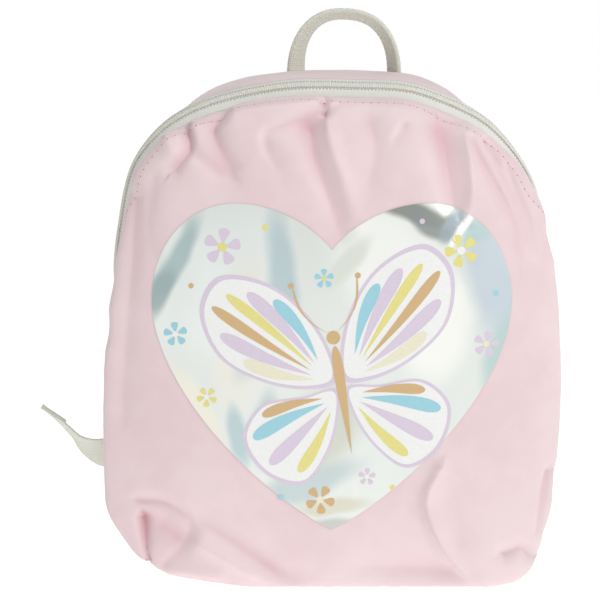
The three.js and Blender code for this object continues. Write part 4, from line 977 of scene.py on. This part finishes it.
def seam_places(surface, line, pitch, phase=0.0, outside=None):
    """Places at a pitch along a line, on a surface, with the line's direction and the surface's normal.
    outside holds a direction out of the surface at each point of the line."""
    shares, length = along_length(line, closed=False)
    count = int(length / pitch)
    wanted = (np.arange(count) + 0.5 + phase) * pitch / length
    wanted = wanted[wanted < 1]
    spots = np.stack([np.interp(wanted, shares, line[:, k]) for k in range(3)], axis=1)
    ends = np.stack([np.interp(wanted + 0.4 * pitch / length, shares, line[:, k]) for k in range(3)], axis=1)
    starts = np.stack([np.interp(wanted - 0.4 * pitch / length, shares, line[:, k]) for k in range(3)], axis=1)
    places, normals = [], []
    for share, spot in zip(wanted, spots):
        spot = Vector(spot)
        place, normal, *_ = surface.find_nearest(spot)
        if outside is not None:
            out = unit([np.interp(share, shares, outside[:, k]) for k in range(3)])
            hit, hit_normal, *_ = surface.ray_cast(spot + out * 0.012, -out, 0.03)
            if hit:
                place, normal = hit, hit_normal
        places.append(place)
        normals.append(normal)
    return np.array(places), ends - starts, np.array(normals)


def inside_seam(rim, distance):
    """A line on the front panel, inside its seam by a distance as seen from the front."""
    ways = np.linspace(0, 0.4, 60)
    edge = crowned(rim, np.zeros(len(rim.x)))
    rows = np.array([crowned(rim, np.full(len(rim.x), way)) for way in ways])
    inside = np.maximum.accumulate(-np.sum((rows - edge) * rim.outward, axis=2), axis=0)
    inside += ways[:, None] * 1e-6
    lengths = np.concatenate([
        np.zeros((1, len(rim.x))), np.cumsum(np.linalg.norm(np.diff(rows, axis=0), axis=2), axis=0),
    ])
    line = []
    for c, high in enumerate(smooth_share(rim.up, 0.68, 0.8)):
        way = np.interp(distance, inside[:, c], ways) * high + np.interp(distance, lengths[:, c], ways) * (1 - high)
        line.append([np.interp(way, ways, rows[:, c, k]) for k in range(3)])
    return np.array(line)


def thread_pieces(name, surface, line, pitch, outside, finish, hole_shade_finish):
    """A row of stitches, and dark discs between them as painted shade of the needle holes."""
    places, ways, normals = seam_places(surface, line, pitch, 0.0, outside)
    stitches = repeated(name, places, ways, normals, (pitch * 0.78, stitch_thread, stitch_thread * 0.8), finish)
    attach(stitches, "root")
    # Dark flat discs between the stitches stand for the shade in the needle holes: painted shade.
    places, ways, normals = seam_places(surface, line, pitch, 0.5, outside)
    hole_shades = repeated(name + "_holes", places, ways, normals, (pitch * 0.24, stitch_thread * 1.5, 0.0002), hole_shade_finish)
    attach(hole_shades, "root")


def thread_finish(name, colour):
    """Twisted thread, its strands seen as fine bands."""
    finish = Finish(name, Roughness=0.6, Sheen_Weight=0.2)
    strands = finish.noise(finish.place(), 1500, 2)
    finish.feed("Base Color", finish.mix(strands, rgba(*(c * 0.95 for c in colour)), rgba(*colour)))
    finish.feed("Normal", finish.bump(strands, 0.3, 0.0001))
    return finish


pink_thread = thread_finish("pink_thread", (240, 212, 216))
# A dark pink for the discs that stand for the shade in the needle holes: painted shade.
needle_hole_shade = thread_finish("pink_needle_holes", (196, 128, 140))
seam_shares = np.linspace(
    outline_shares[np.where(outline_loop[:, 1] > 0.1)[0][0]],
    outline_shares[np.where(outline_loop[:, 1] > 0.1)[0][-1]], 400,
)
seam_rim = Rim(seam_shares)
thread_pieces(
    "front_seam_stitches", panel_surface, inside_seam(seam_rim, stitch_inside), stitch_pitch,
    seam_rim.outward + smooth_share(seam_rim.up, 0.68, 0.8)[:, None] * (0, -1.6, 0),
    pink_thread, needle_hole_shade,
)

# The zip runs over the top between the front panel and the gusset: two woven tapes, and between
# them the closed coil of nylon, with its small loops side by side.
tape_thickness = 0.0008
coil_thickness = 0.0016
coil_rise = 0.0003


def passing(height, side):
    """Where the outline passes a height on the way up on a side, as a share of its length."""
    above = outline_loop[:, 1] > height
    rising = np.where(above)[0]
    row = rising[0] if side == "right" else rising[-1]
    return outline_shares[row]


zip_right = passing(zip_end_height, "right")
zip_left = passing(zip_end_height, "left")
end_gap = seam_gap / 2 / outline_length
zip_rim = Rim(np.linspace(zip_right + end_gap, zip_left - end_gap, 280))


def strip_body(name, rim, profile, thickness, rise=0.0, rib=None):
    """A band of cloth along the rim: profile gives (inset, y) rows from front to back."""
    rows = np.array([rim.skin(inset, y) for inset, y in profile])
    along_rows = np.gradient(rows, axis=0)
    along_rim = np.gradient(rows, axis=1)
    normals = np.cross(along_rim, along_rows)
    normals /= np.linalg.norm(normals, axis=2)[:, :, None]
    if np.sum(normals * rim.outward[None]) < 0:
        normals = -normals
    lift = rise if rib is None else rise + rib(rim, len(profile))[:, :, None]
    first = rows[1] - rows[0]
    last = rows[-2] - rows[-1]
    rows[0] += first / np.linalg.norm(first, axis=1)[:, None] * seam_gap / 2
    rows[-1] += last / np.linalg.norm(last, axis=1)[:, None] * seam_gap / 2
    outer = rows + normals * lift
    inner = rows + normals * (rise - thickness)
    ring_rows = np.concatenate([outer, inner[::-1]])
    count, columns = ring_rows.shape[:2]
    faces = grid_faces(count, columns, round_rows=True)
    faces.append(tuple(r * columns for r in range(count)))
    faces.append(tuple(r * columns + columns - 1 for r in reversed(range(count))))
    return facing_out(new_piece(name, ring_rows.reshape(-1, 3), faces))


def between_lines(first, last, steps, bow=0.0):
    """Rows from one seam line to another, bowed outwards by a share of bow."""
    rows = []
    for share in np.linspace(0, 1, steps):
        inset = first[0] + (last[0] - first[0]) * share - bow * math.sin(math.pi * share)
        rows.append((inset, first[1] + (last[1] - first[1]) * share))
    return rows


zip_tape_cloth = Finish("zip_tape_cloth", Roughness=0.78, Sheen_Weight=0.15)
tape_place = zip_tape_cloth.place()
tape_grain = zip_tape_cloth.noise(tape_place, 900, 2)
zip_tape_cloth.feed("Base Color", zip_tape_cloth.mix(tape_grain, rgba(226, 226, 217), rgba(240, 240, 234)))
zip_tape_cloth.feed("Normal", zip_tape_cloth.bump(tape_grain, 0.35, 0.0003))

zip_lines = zip_profile(zip_rim)
tape_front = strip_body(
    "zip_tape_front_woven", zip_rim, between_lines(zip_lines[0], zip_lines[1], 6, 0.0003), tape_thickness,
)
finished(tape_front, zip_tape_cloth, "zip_tape_cloth", "zip_tape_front")
tape_rear = strip_body(
    "zip_tape_rear_woven", zip_rim, between_lines(zip_lines[2], zip_lines[3], 6, 0.0003), tape_thickness,
)
finished(tape_rear, zip_tape_cloth, "zip_tape_cloth", "zip_tape_rear")

zip_coil_plastic = Finish("zip_coil_plastic", Roughness=0.42)
coil_grain = zip_coil_plastic.noise(zip_coil_plastic.place(), 700, 2)
zip_coil_plastic.feed("Base Color", zip_coil_plastic.mix(coil_grain, rgba(222, 222, 211), rgba(236, 235, 226)))
zip_coil_plastic.feed("Roughness", 0.36 + 0.16 * coil_grain)


def coil_ribs(rim, rows):
    """The coil's loops stand up in the middle and dip to a groove beside each tape."""
    share = np.linspace(0, 1, rows)[:, None]
    return 0.0007 * np.sin(math.pi * share) ** 0.5 * np.ones(len(rim.x)) - 0.0009


coil = strip_body(
    "zip_coil_band", zip_rim, between_lines(zip_lines[1], zip_lines[2], 9, 0.0002),
    coil_thickness, coil_rise, coil_ribs,
)
finished(coil, zip_coil_plastic, "zip_coil_plastic", "zip_coil")

coil_pitch = 0.0011
tooth_length = 0.0046
tooth_breadth = 0.0015
tooth_height = 0.0013
coil_surface = BVHTree.FromPolygons(
    [v.co.copy() for v in coil.data.vertices], [tuple(p.vertices) for p in coil.data.polygons],
)
front_side = zip_rim.skin(*zip_lines[1])
rear_side = zip_rim.skin(*zip_lines[2])
tooth_places, tooth_along, tooth_normals = seam_places(coil_surface, (front_side + rear_side) / 2, coil_pitch)
shares, _ = along_length((front_side + rear_side) / 2, closed=False)
tooth_shares = (np.arange(len(tooth_places)) + 0.5) / len(tooth_places)
tooth_ways = np.stack([np.interp(tooth_shares, shares, (rear_side - front_side)[:, k]) for k in range(3)], axis=1)
tooth_normals = np.cross(tooth_along, tooth_ways)
outwards = np.stack([np.interp(tooth_shares, shares, zip_rim.outward[:, k]) for k in range(3)], axis=1)
tooth_normals *= np.sign(np.sum(tooth_normals * outwards, axis=1))[:, None]
tooth_normals /= np.linalg.norm(tooth_normals, axis=1)[:, None]
coil_teeth = repeated(
    "zip_coil_teeth", tooth_places, tooth_ways, tooth_normals,
    (tooth_length, tooth_breadth, tooth_height), zip_coil_plastic,
)
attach(coil_teeth, "root")

zip_stitch_pitch = 0.0018
# The zip's stitch rows are real stitches, with the shade of the groove between coil and stitching painted into their
# grey colour.
zip_thread_and_shade = thread_finish("zip_thread_and_shade", (176, 180, 168))
for label, tape, edge, far_edge in (
    ("front", tape_front, front_side, zip_rim.skin(*zip_lines[0])),
    ("rear", tape_rear, rear_side, zip_rim.skin(*zip_lines[3])),
):
    surface = BVHTree.FromPolygons([v.co.copy() for v in tape.data.vertices], [tuple(p.vertices) for p in tape.data.polygons])
    across = far_edge - edge
    line = edge + across / np.linalg.norm(across, axis=1)[:, None] * 0.0006
    places, ways, normals = seam_places(surface, line, zip_stitch_pitch)
    chain = repeated(f"zip_tape_{label}_stitches", places, ways, normals, (0.0012, 0.0006, 0.0004), zip_thread_and_shade)
    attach(chain, "root")

# The gusset is the band of the same pink cloth round the bag: the upper part lies behind the zip
# and puffs up a little between its seams, the lower part runs under the base in one piece.
def back_inset(rim):
    flank = back_seam_inset * (0.5 + 0.5 * smooth_share(rim.up, 0, 0.15))
    return flank + (back_seam_inset / 2 - flank) * puff_share(rim)


def soft_dents(rim, share):
    """Shallow dents of slack cloth in the gusset, dying out at its seams."""
    turns = 2 * math.pi * rim.shares
    wave = np.sin(9 * turns + 4 * share + 1) + 0.8 * np.sin(17 * turns - 6 * share) + 0.5 * np.sin(31 * turns + 9 * share)
    held = smooth_share(rim.up, 0.01, 0.08) * (1 - 0.8 * smooth_share(rim.up, 0.6, 0.9))
    slack = 0.001 * wave * math.sin(math.pi * share) ** 0.8
    run = 5 * turns + 9 * share + 1.4 * np.sin(3 * turns + 5 * share)
    crease = np.exp(-(((run / (2 * math.pi)) % 1 - 0.5) / 0.055) ** 2) * math.sin(math.pi * share) ** 0.6
    return (slack + 0.0016 * crease) * held


def top_gusset_profile(rim, steps=26):
    front = zip_profile(rim)[3]
    rows = []
    for share in np.linspace(0, 1, steps):
        crest = (4 * share * (1 - share)) ** 0.55
        seams = tape_inset(rim) + (back_inset(rim) - tape_inset(rim)) * share
        inset = seams + (crest_inset(rim) - seams) * crest + soft_dents(rim, share)
        rows.append((inset, front[1] + (back_seam_y - front[1]) * share))
    return rows


def upper_inset(rim, y):
    """The inset of the zip and the upper gusset at a depth, which the base gusset takes up at its ends."""
    rows = [*zip_profile(rim), *top_gusset_profile(rim)[1:]]
    insets = np.array([row[0] for row in rows])
    depths = np.array([np.broadcast_to(row[1], rim.x.shape) for row in rows])
    return np.array([np.interp(y[c], depths[:, c], insets[:, c]) for c in range(len(rim.x))])


def base_gusset_profile(rim, steps=34):
    seam_inset, seam_y = zip_profile(rim)[0]
    near_zip = smooth_share(rim.z, zip_end_height - 0.03, zip_end_height)
    rows = []
    for share in np.linspace(0, 1, steps):
        toe = max(0, 1 - share / 0.16) ** 1.7
        heel = max(0, (share - 0.92) / 0.08) ** 1.7
        inset = gusset_inset(rim) + (seam_inset - gusset_inset(rim)) * toe
        inset = inset + (back_inset(rim) - gusset_inset(rim)) * heel + soft_dents(rim, share)
        y = seam_y + (back_seam_y - seam_y) * share
        rows.append((inset + (upper_inset(rim, y) - inset) * near_zip, y))
    return rows


top_gusset = strip_body("top_gusset_cloth", zip_rim, top_gusset_profile(zip_rim), cloth_thickness)
finished(top_gusset, pink_cloth, "pink_cloth", "top_gusset")
base_rim = Rim(np.linspace(zip_left + end_gap - 1, zip_right - end_gap, 240))
base_gusset = strip_body("base_gusset_cloth", base_rim, base_gusset_profile(base_rim), cloth_thickness)
finished(base_gusset, pink_cloth, "pink_cloth", "base_gusset")

# The back panel is a plain piece of the same cloth, almost flat, sewn in along the back seam.
back_crown = 0.003
back_rings = np.concatenate([np.linspace(0, 0.12, 8), np.linspace(0.16, 1, 18)])
back_rim = Rim(np.linspace(0, 1, 280, endpoint=False))
back_rows = []
for way in back_rings:
    edge = back_rim.skin(back_inset(back_rim), back_seam_y)
    points = edge + (np.array([crown_point[0], back_seam_y, crown_point[2]]) - edge) * way
    calm_middle = 1 - smooth_share(way, 0.25, 0.7)
    ripple = 0.0009 * np.sin(2 * math.pi * back_rim.shares * 7 + 5 * way) * math.sin(math.pi * way) * calm_middle
    points[:, 1] = back_seam_y + back_crown * (1 - (1 - way) ** 4) + ripple
    back_rows.append(points)
back_rows[0] += (back_rows[1] - back_rows[0]) * 0.1
back_count = len(back_rows) - 1
back_points = np.concatenate([*back_rows[:-1], [back_rows[-1].mean(axis=0)]])
back_faces = grid_faces(back_count, 280, round_columns=True)
back_faces += [((back_count - 1) * 280 + c, (back_count - 1) * 280 + (c + 1) % 280, back_count * 280) for c in range(280)]
back_panel = new_piece("back_panel_cloth", back_points, back_faces)
if sum(polygon.normal.y for polygon in back_panel.data.polygons) < 0:
    back_panel.data.flip_normals()
thicken = back_panel.modifiers.new("thickness", "SOLIDIFY")
thicken.thickness = cloth_thickness
thicken.offset = -1
apply_modifiers(back_panel)
finished(back_panel, pink_cloth, "pink_cloth", "back_panel")

# The grab handle is a doubled grey webbing, bent into a loop and caught in the back of the gusset.
# Its front edge stands wider than its rear edge, so that its underside shows from the front.
handle_span = 0.053
handle_rise = 0.0315
handle_width = 0.012
handle_thickness = 0.003
handle_y = back_seam_y - 0.007
handle_x = 0.008
handle_twist_top = 23


def swept(name, stations, section):
    """A body swept through stations of (point, broad, thin). section(row) gives points (a, b) in them.
    Its UV map is in millimetres, U along the sweep and V round the section."""
    rings = [section(row) for row in range(len(stations))]
    rows, columns = len(rings), len(rings[0])
    points = [
        point + broad * a + thin * b for (point, broad, thin), ring in zip(stations, rings) for a, b in ring
    ]
    faces = grid_faces(rows, columns, round_columns=True)
    faces.append(tuple(range(columns)))
    faces.append(tuple((rows - 1) * columns + c for c in reversed(range(columns))))
    piece = new_piece(name, points, faces)
    centres = np.array([point for point, _, _ in stations])
    along = along_length(centres, closed=False)
    around = along_length(np.array(rings[rows // 2]), closed=True)
    along = along[0] * along[1] * 1000
    around = around[0] * around[1] * 1000
    layer = piece.data.uv_layers.new(name="band")
    for polygon in piece.data.polygons[:(rows - 1) * columns]:
        row, col = divmod(polygon.index, columns)
        corners = ((row, col), (row, col + 1), (row + 1, col + 1), (row + 1, col))
        for corner, (r, c) in zip(polygon.loop_indices, corners):
            layer.data[corner].uv = (along[r], around[c])
    return facing_out(piece)


def flat_section(width, thickness, edge=3):
    """A webbing's cross-section: flat, with rounded selvedges."""
    section = []
    half, radius = width / 2, thickness / 2
    for side in (1, -1):
        for share in np.linspace(-1, 1, edge + 2):
            angle = share * math.pi / 2
            section.append((side * (half - radius + radius * math.cos(angle)), side * radius * math.sin(angle)))
        section += [(side * half * share, side * radius) for share in (0.5, 0.0, -0.5)]
    return section


grey_webbing = Finish("grey_webbing", Roughness=0.82, Sheen_Weight=0.2)
webbing_uv = grey_webbing.place("UV")
ribs = grey_webbing.node("ShaderNodeTexWave", {"bands_direction": "X"}, Vector=webbing_uv, Scale=0.35, Distortion=0.3)
lengthwise = grey_webbing.node("ShaderNodeTexWave", {"bands_direction": "Y"}, Vector=webbing_uv, Scale=0.2, Distortion=0.6)
webbing_grain = grey_webbing.noise(grey_webbing.place(), 800, 2)
grey_webbing.feed("Base Color", grey_webbing.mix(
    webbing_grain * 0.6 + lengthwise * 0.4, rgba(214, 216, 201), rgba(234, 235, 223),
))
grey_webbing.feed("Normal", grey_webbing.bump(
    ribs, 0.5, 0.0004, grey_webbing.bump(webbing_grain, 0.3, 0.0003),
))


gusset_surface = BVHTree.FromPolygons(
    [v.co.copy() for v in top_gusset.data.vertices], [tuple(p.vertices) for p in top_gusset.data.polygons],
)


def gusset_top(x, y):
    place, *_ = gusset_surface.ray_cast(Vector((x, y, 0.5)), Vector((0, 0, -1)))
    return place.z if place else body_height


handle_steps = 150
handle_centre = []
handle_twist = []
for angle in np.linspace(math.pi, 0, handle_steps):
    power = 2 / 2.3
    out = math.copysign(abs(math.cos(angle)) ** power, math.cos(angle))
    rise = max(math.sin(angle), 0) ** power
    x = handle_x + out * handle_span / 2
    handle_centre.append(Vector((x, handle_y, gusset_top(x, handle_y) + rise * handle_rise)))
    foot = 48 if out < 0 else 30
    handle_twist.append(math.radians(foot + (handle_twist_top - foot) * rise))
handle_stations = []
for i, point in enumerate(handle_centre):
    tangent = (handle_centre[min(i + 1, handle_steps - 1)] - handle_centre[max(i - 1, 0)]).normalized()
    outward = Vector((-tangent.z, 0, tangent.x))
    broad = Vector((0, -1, 0)) * math.cos(handle_twist[i]) + outward * math.sin(handle_twist[i])
    thin = tangent.cross(broad)
    handle_stations.append((point, broad, thin))
handle_section = flat_section(handle_width, handle_thickness)


def ribbed(row):
    swell = 1 + 0.06 * math.sin(row * 1.6)
    return [(a, b * swell) for a, b in handle_section]


grab_handle = swept("grab_handle_webbing", handle_stations, ribbed)
finished(grab_handle, grey_webbing, "grey_webbing", "grab_handle")

# The shoulder straps are padded: two layers of the pink cloth over foam, sewn together and
# topstitched inside the edge. They are caught in the back seam above and narrow to the locks below.
pad_width = 0.04
pad_thickness = 0.008
pad_groove = 0.8
PAD_STATIONS = [
    {"across": 0.32, "up": 0.945, "off": 0.0, "broad": 0.8, "thick": 0.35},
    {"across": 0.325, "up": 0.9, "off": 0.0, "broad": 0.9, "thick": 0.5},
    {"across": 0.33, "up": 0.86, "off": 0.025, "broad": 1, "thick": 0.85},
    {"across": 0.35, "up": 0.79, "off": 0.11, "broad": 1, "thick": 1},
    {"across": 0.375, "up": 0.7, "off": 0.185, "broad": 1, "thick": 1},
    {"across": 0.41, "up": 0.6, "off": 0.205, "broad": 1, "thick": 1},
    {"across": 0.46, "up": 0.51, "off": 0.175, "broad": 0.97, "thick": 1},
    {"across": 0.515, "up": 0.445, "off": 0.135, "broad": 0.85, "thick": 0.95},
    {"across": 0.553, "up": 0.412, "off": 0.115, "broad": 0.62, "thick": 0.8},
]
back_surface = BVHTree.FromPolygons(
    [v.co.copy() for v in back_panel.data.vertices], [tuple(p.vertices) for p in back_panel.data.polygons],
)


def behind_back(across, up, off):
    """A point behind the back panel, off from it."""
    x, z = across * body_width / 2, up * body_height
    place, *_ = back_surface.ray_cast(Vector((x, 0.3, z)), Vector((0, -1, 0)))
    return Vector((x, (place.y if place else back_seam_y) + seam_gap + off, z))


def pad_line(sign, steps=7):
    """The middle line of a pad, with its width, thickness and directions at each point."""
    knots = [
        behind_back(sign * row["across"], row["up"], row["off"] * body_depth + pad_thickness * row["thick"] / 2)
        for row in PAD_STATIONS
    ]
    points = [Vector(p) for p in curve_through([tuple(k) for k in knots], closed=False, steps=steps)]
    places = np.linspace(0, len(PAD_STATIONS) - 1, len(points))
    rows = np.arange(len(PAD_STATIONS))
    broads = np.interp(places, rows, column(PAD_STATIONS, "broad")) * pad_width
    thicks = np.interp(places, rows, column(PAD_STATIONS, "thick")) * pad_thickness
    stations = []
    for i, point in enumerate(points):
        tangent = unit(points[min(i + 1, len(points) - 1)] - points[max(i - 1, 0)])
        broad = unit(tangent.cross(Vector((0, 1, 0))))
        stations.append((point, broad, tangent.cross(broad)))
    return stations, broads, thicks


def pad_height(share):
    """The pad's half thickness from its middle (0) to its edge (1): full, then a stitched groove."""
    full = (1 - abs(share) ** 4) ** 0.5
    groove = 1 - 0.42 * math.exp(-(((abs(share) - pad_groove) / 0.06) ** 2))
    return full * groove


def pad_section(width, thickness):
    shares = np.sin(np.linspace(-math.pi / 2, math.pi / 2, 22))
    over = [(share * width / 2, pad_height(share) * thickness / 2) for share in shares]
    under = [(share * width / 2, -pad_height(share) * thickness / 2) for share in shares[-2:0:-1]]
    return over + under


for side, sign in (("left", -1), ("right", 1)):
    stations, broads, thicks = pad_line(sign)
    pad = swept(
        f"strap_pad_{side}_padded", stations, lambda row: pad_section(broads[row], thicks[row]),
    )
    finished(pad, pink_cloth, "pink_cloth", f"strap_pad_{side}")
    pad_surface = BVHTree.FromPolygons(
        [v.co.copy() for v in pad.data.vertices], [tuple(p.vertices) for p in pad.data.polygons],
    )
    for edge, edge_sign in (("inner", -1), ("outer", 1)):
        line = np.array([
            point + broad * edge_sign * pad_groove * width / 2 + Vector((0, thickness, 0))
            for (point, broad, _), width, thickness in zip(stations, broads, thicks)
        ])[3:-2]
        thread_pieces(
            f"strap_{side}_{edge}_stitches", pad_surface, line, stitch_pitch,
            np.array([-thin for _, _, thin in stations])[3:-2], pink_thread, needle_hole_shade,
        )

# The ladder locks are moulded plastic. A short webbing loop holds each one's top bar, and the
# adjusting webbing runs from the back seam through both slots to its loose end, which is hemmed.
webbing_width = 0.02
webbing_thickness = 0.0012
strap_gap = 0.0003
lock_bar = 0.0035
lock_middle_bar = 0.003
lock_thickness = 0.003
lock_upper_slot = 0.006
lock_lower_slot = 0.005
hem_length = 0.015
seat_lift = 0.00025
anchor = {"across": 0.82, "up": 0.105, "seat": 0.01}
TAILS = {
    "left": [
        {"across": 0.745, "up": 0.265, "off": 0.1, "turn": 38, "lean": 0},
        {"across": 0.86, "up": 0.224, "off": 0.085, "turn": 62, "lean": -12},
        {"across": 0.97, "up": 0.208, "off": 0.06, "turn": 82, "lean": -24},
        {"across": 1.053, "up": 0.211, "off": 0.035, "turn": 98, "lean": -27},
        {"across": 1.12, "up": 0.223, "off": 0.015, "turn": 112, "lean": -50},
        {"across": 1.18, "up": 0.243, "off": 0, "turn": 125, "lean": -72},
        {"across": 1.252, "up": 0.274, "off": 0, "turn": 128, "lean": -76},
        {"across": 1.344, "up": 0.305, "off": 0, "turn": 130, "lean": -82},
    ],
    "right": [
        {"across": 0.66, "up": 0.25, "off": 0.1, "turn": 22, "lean": 0},
        {"across": 0.685, "up": 0.2, "off": 0.11, "turn": 14, "lean": 0},
        {"across": 0.7, "up": 0.14, "off": 0.11, "turn": 7, "lean": 0},
        {"across": 0.705, "up": 0.08, "off": 0.095, "turn": 3, "lean": 0},
    ],
}
lock_half = lock_bar / 2
middle_top = -lock_half - lock_upper_slot
middle_foot = middle_top - lock_middle_bar
lock_foot = middle_foot - lock_lower_slot - lock_bar
clear_of_lock = lock_thickness / 2 + strap_gap + webbing_thickness / 2


def rounded_run(points, radius):
    """A run of points with its corners rounded."""
    points = [np.array(p, float) for p in points]
    run = [points[0]]
    for before, here, after in zip(points, points[1:], points[2:]):
        back, on = before - here, after - here
        bend = min(radius, np.linalg.norm(back) / 2, np.linalg.norm(on) / 2)
        start = here + back / np.linalg.norm(back) * bend
        end = here + on / np.linalg.norm(on) * bend
        for share in np.linspace(0, 1, 6):
            run.append(start * (1 - share) ** 2 + here * 2 * share * (1 - share) + end * share**2)
    run.append(points[-1])
    return run


def ribbon(name, line, widths, overs, slot_node):
    """Webbing through a line of points, each with the direction of its width and its upper thickness."""
    stations = []
    for i, point in enumerate(line):
        tangent = unit(line[min(i + 1, len(line) - 1)] - line[max(i - 1, 0)])
        broad = unit(widths[i] - tangent * tangent.dot(widths[i]))
        stations.append((point, broad, tangent.cross(broad)))
    section = flat_section(webbing_width, webbing_thickness)
    piece = swept(name, stations, lambda row: [(a, b * overs[row] * 2 if b > 0 else b) for a, b in section])
    return finished(piece, grey_webbing, "grey_webbing", slot_node)


def softened(node, name, radius, finish, slot):
    """A merged copy of a moulded solid with its edges rounded."""
    work = bmesh.new()
    work.from_mesh(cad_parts[node].data)
    bmesh.ops.remove_doubles(work, verts=work.verts, dist=1e-6)
    bmesh.ops.dissolve_limit(work, angle_limit=math.radians(2), verts=work.verts, edges=work.edges)
    sharp = [e for e in work.edges if len(e.link_faces) == 2 and e.calc_face_angle(0) > math.radians(35)]
    bmesh.ops.bevel(work, geom=sharp, offset=radius, segments=2, profile=0.5, affect="EDGES", clamp_overlap=True)
    bmesh.ops.triangulate(work, faces=[face for face in work.faces if len(face.verts) > 4])
    mesh = bpy.data.meshes.new(name)
    work.to_mesh(mesh)
    work.free()
    mesh.shade_smooth()
    piece = bpy.data.objects.new(name, mesh)
    bpy.context.scene.collection.objects.link(piece)
    return finished(facing_out(piece, 50), finish, slot, node)


lock_plastic = Finish("lock_plastic", Roughness=0.42)
mould_grain = lock_plastic.noise(lock_plastic.place(), 600, 3)
lock_plastic.feed("Base Color", lock_plastic.mix(mould_grain, rgba(205, 206, 194), rgba(214, 215, 204)))
lock_plastic.feed("Roughness", 0.36 + 0.14 * mould_grain)
lock_plastic.feed("Normal", lock_plastic.bump(mould_grain, 0.15, 0.0001))

for side, sign in (("left", -1), ("right", 1)):
    stations, _, _ = pad_line(sign)
    pad_end = stations[-1][0]
    upward = unit(stations[-2][0] - stations[-1][0])
    across_lock = unit(upward.cross(Vector((0, 1, 0))))
    off_bag = unit(across_lock.cross(upward))
    reach = lock_bar + 0.0025

    def at_lock(place):
        return pad_end + upward * (place[0] - reach) + off_bag * place[1]

    softened(f"ladder_lock_{side}", f"ladder_lock_{side}_moulded", 0.0005, lock_plastic, "lock_plastic")

    foot = -lock_half - strap_gap - webbing_thickness / 2
    legs = reach - seam_gap
    loop = [at_lock(place) for place in rounded_run([
        (legs, clear_of_lock), (foot, clear_of_lock), (foot, -clear_of_lock), (legs, -clear_of_lock),
    ], 0.0012)]
    ribbon(f"lock_loop_{side}_woven", loop, [across_lock] * len(loop), [0.5] * len(loop), f"lock_loop_{side}")

    step = webbing_thickness / 2 + strap_gap
    under = -clear_of_lock - webbing_thickness - strap_gap
    way_out = lock_foot - 0.003
    threaded = [at_lock(place) for place in rounded_run([
        (way_out, under), (middle_top + step, under), (middle_top + step, clear_of_lock),
        (middle_foot - step, clear_of_lock), (middle_foot - step, -clear_of_lock), (way_out, -clear_of_lock),
    ], 0.0014)]
    seat_off = webbing_thickness / 2 + seat_lift
    seat = behind_back(sign * anchor["across"], anchor["up"], seat_off)
    towards = threaded[0] - seat
    towards = unit((towards.x, 0, towards.z))
    low_broad = unit(towards.cross(Vector((0, 1, 0))))
    seat_end = seat + towards * anchor["seat"]
    seat_end.y = behind_back(seat_end.x / (body_width / 2), seat_end.z / body_height, seat_off).y + 0.0002
    slack = threaded[0].lerp(seat_end, 0.4) + Vector((0, -0.0008, 0))
    loaded = curve_through([tuple(p) for p in (seat, seat_end, slack, threaded[0])], closed=False, steps=6)[:-1]
    loaded = [Vector(p) for p in loaded]
    line = loaded + threaded
    widths = [low_broad.lerp(across_lock, i / len(loaded)) for i in range(len(loaded))]
    widths += [across_lock] * len(threaded)

    tail = TAILS[side]
    knots = [threaded[-1]]
    turns = [across_lock]
    for row in tail:
        knots.append(Vector((
            sign * row["across"] * body_width / 2, back_seam_y + back_crown + row["off"] * body_depth,
            row["up"] * body_height,
        )))
        turn, lean = math.radians(row["turn"]), math.radians(row["lean"])
        turns.append(-sign * Vector((
            sign * math.cos(turn) * math.cos(lean), math.sin(lean), math.sin(turn) * math.cos(lean),
        )))
    points = curve_through([tuple(k) for k in knots], closed=False, steps=10)
    shares, length = along_length(points, closed=False)
    places = np.linspace(0, len(tail), len(points))
    directions = np.stack([np.interp(places, range(len(turns)), [t[k] for t in turns]) for k in range(3)], axis=1)
    hem_start = length - hem_length - webbing_thickness / 2
    stops = np.concatenate([
        np.arange(0.0015, hem_start - 0.0005, 0.0015), [hem_start, hem_start + webbing_thickness / 2],
        np.linspace(length - hem_length * 0.85, length, 6),
    ])
    for stop in stops:
        line.append(Vector([np.interp(stop / length, shares, points[:, k]) for k in range(3)]))
        widths.append(Vector([np.interp(stop / length, shares, directions[:, k]) for k in range(3)]))
    overs = [0.5] * (len(line) - 7) + [1.5] * 7
    ribbon(f"strap_webbing_{side}_woven", line, widths, overs, f"strap_webbing_{side}")

# The zip's slider and pull are enamelled metal, and wait at the right-hand end of the zip.
slider_metal = Finish("slider_metal", Roughness=0.35, Metallic=0.4, Coat_Weight=0.4, Coat_Roughness=0.15)
enamel = slider_metal.noise(slider_metal.place(), 300, 3)
slider_metal.feed("Base Color", slider_metal.mix(enamel, rgba(200, 201, 190), rgba(214, 215, 205)))
slider_metal.feed("Roughness", 0.28 + 0.14 * enamel)
softened("zip_slider", "zip_slider_enamelled", 0.0003, slider_metal, "slider_metal")
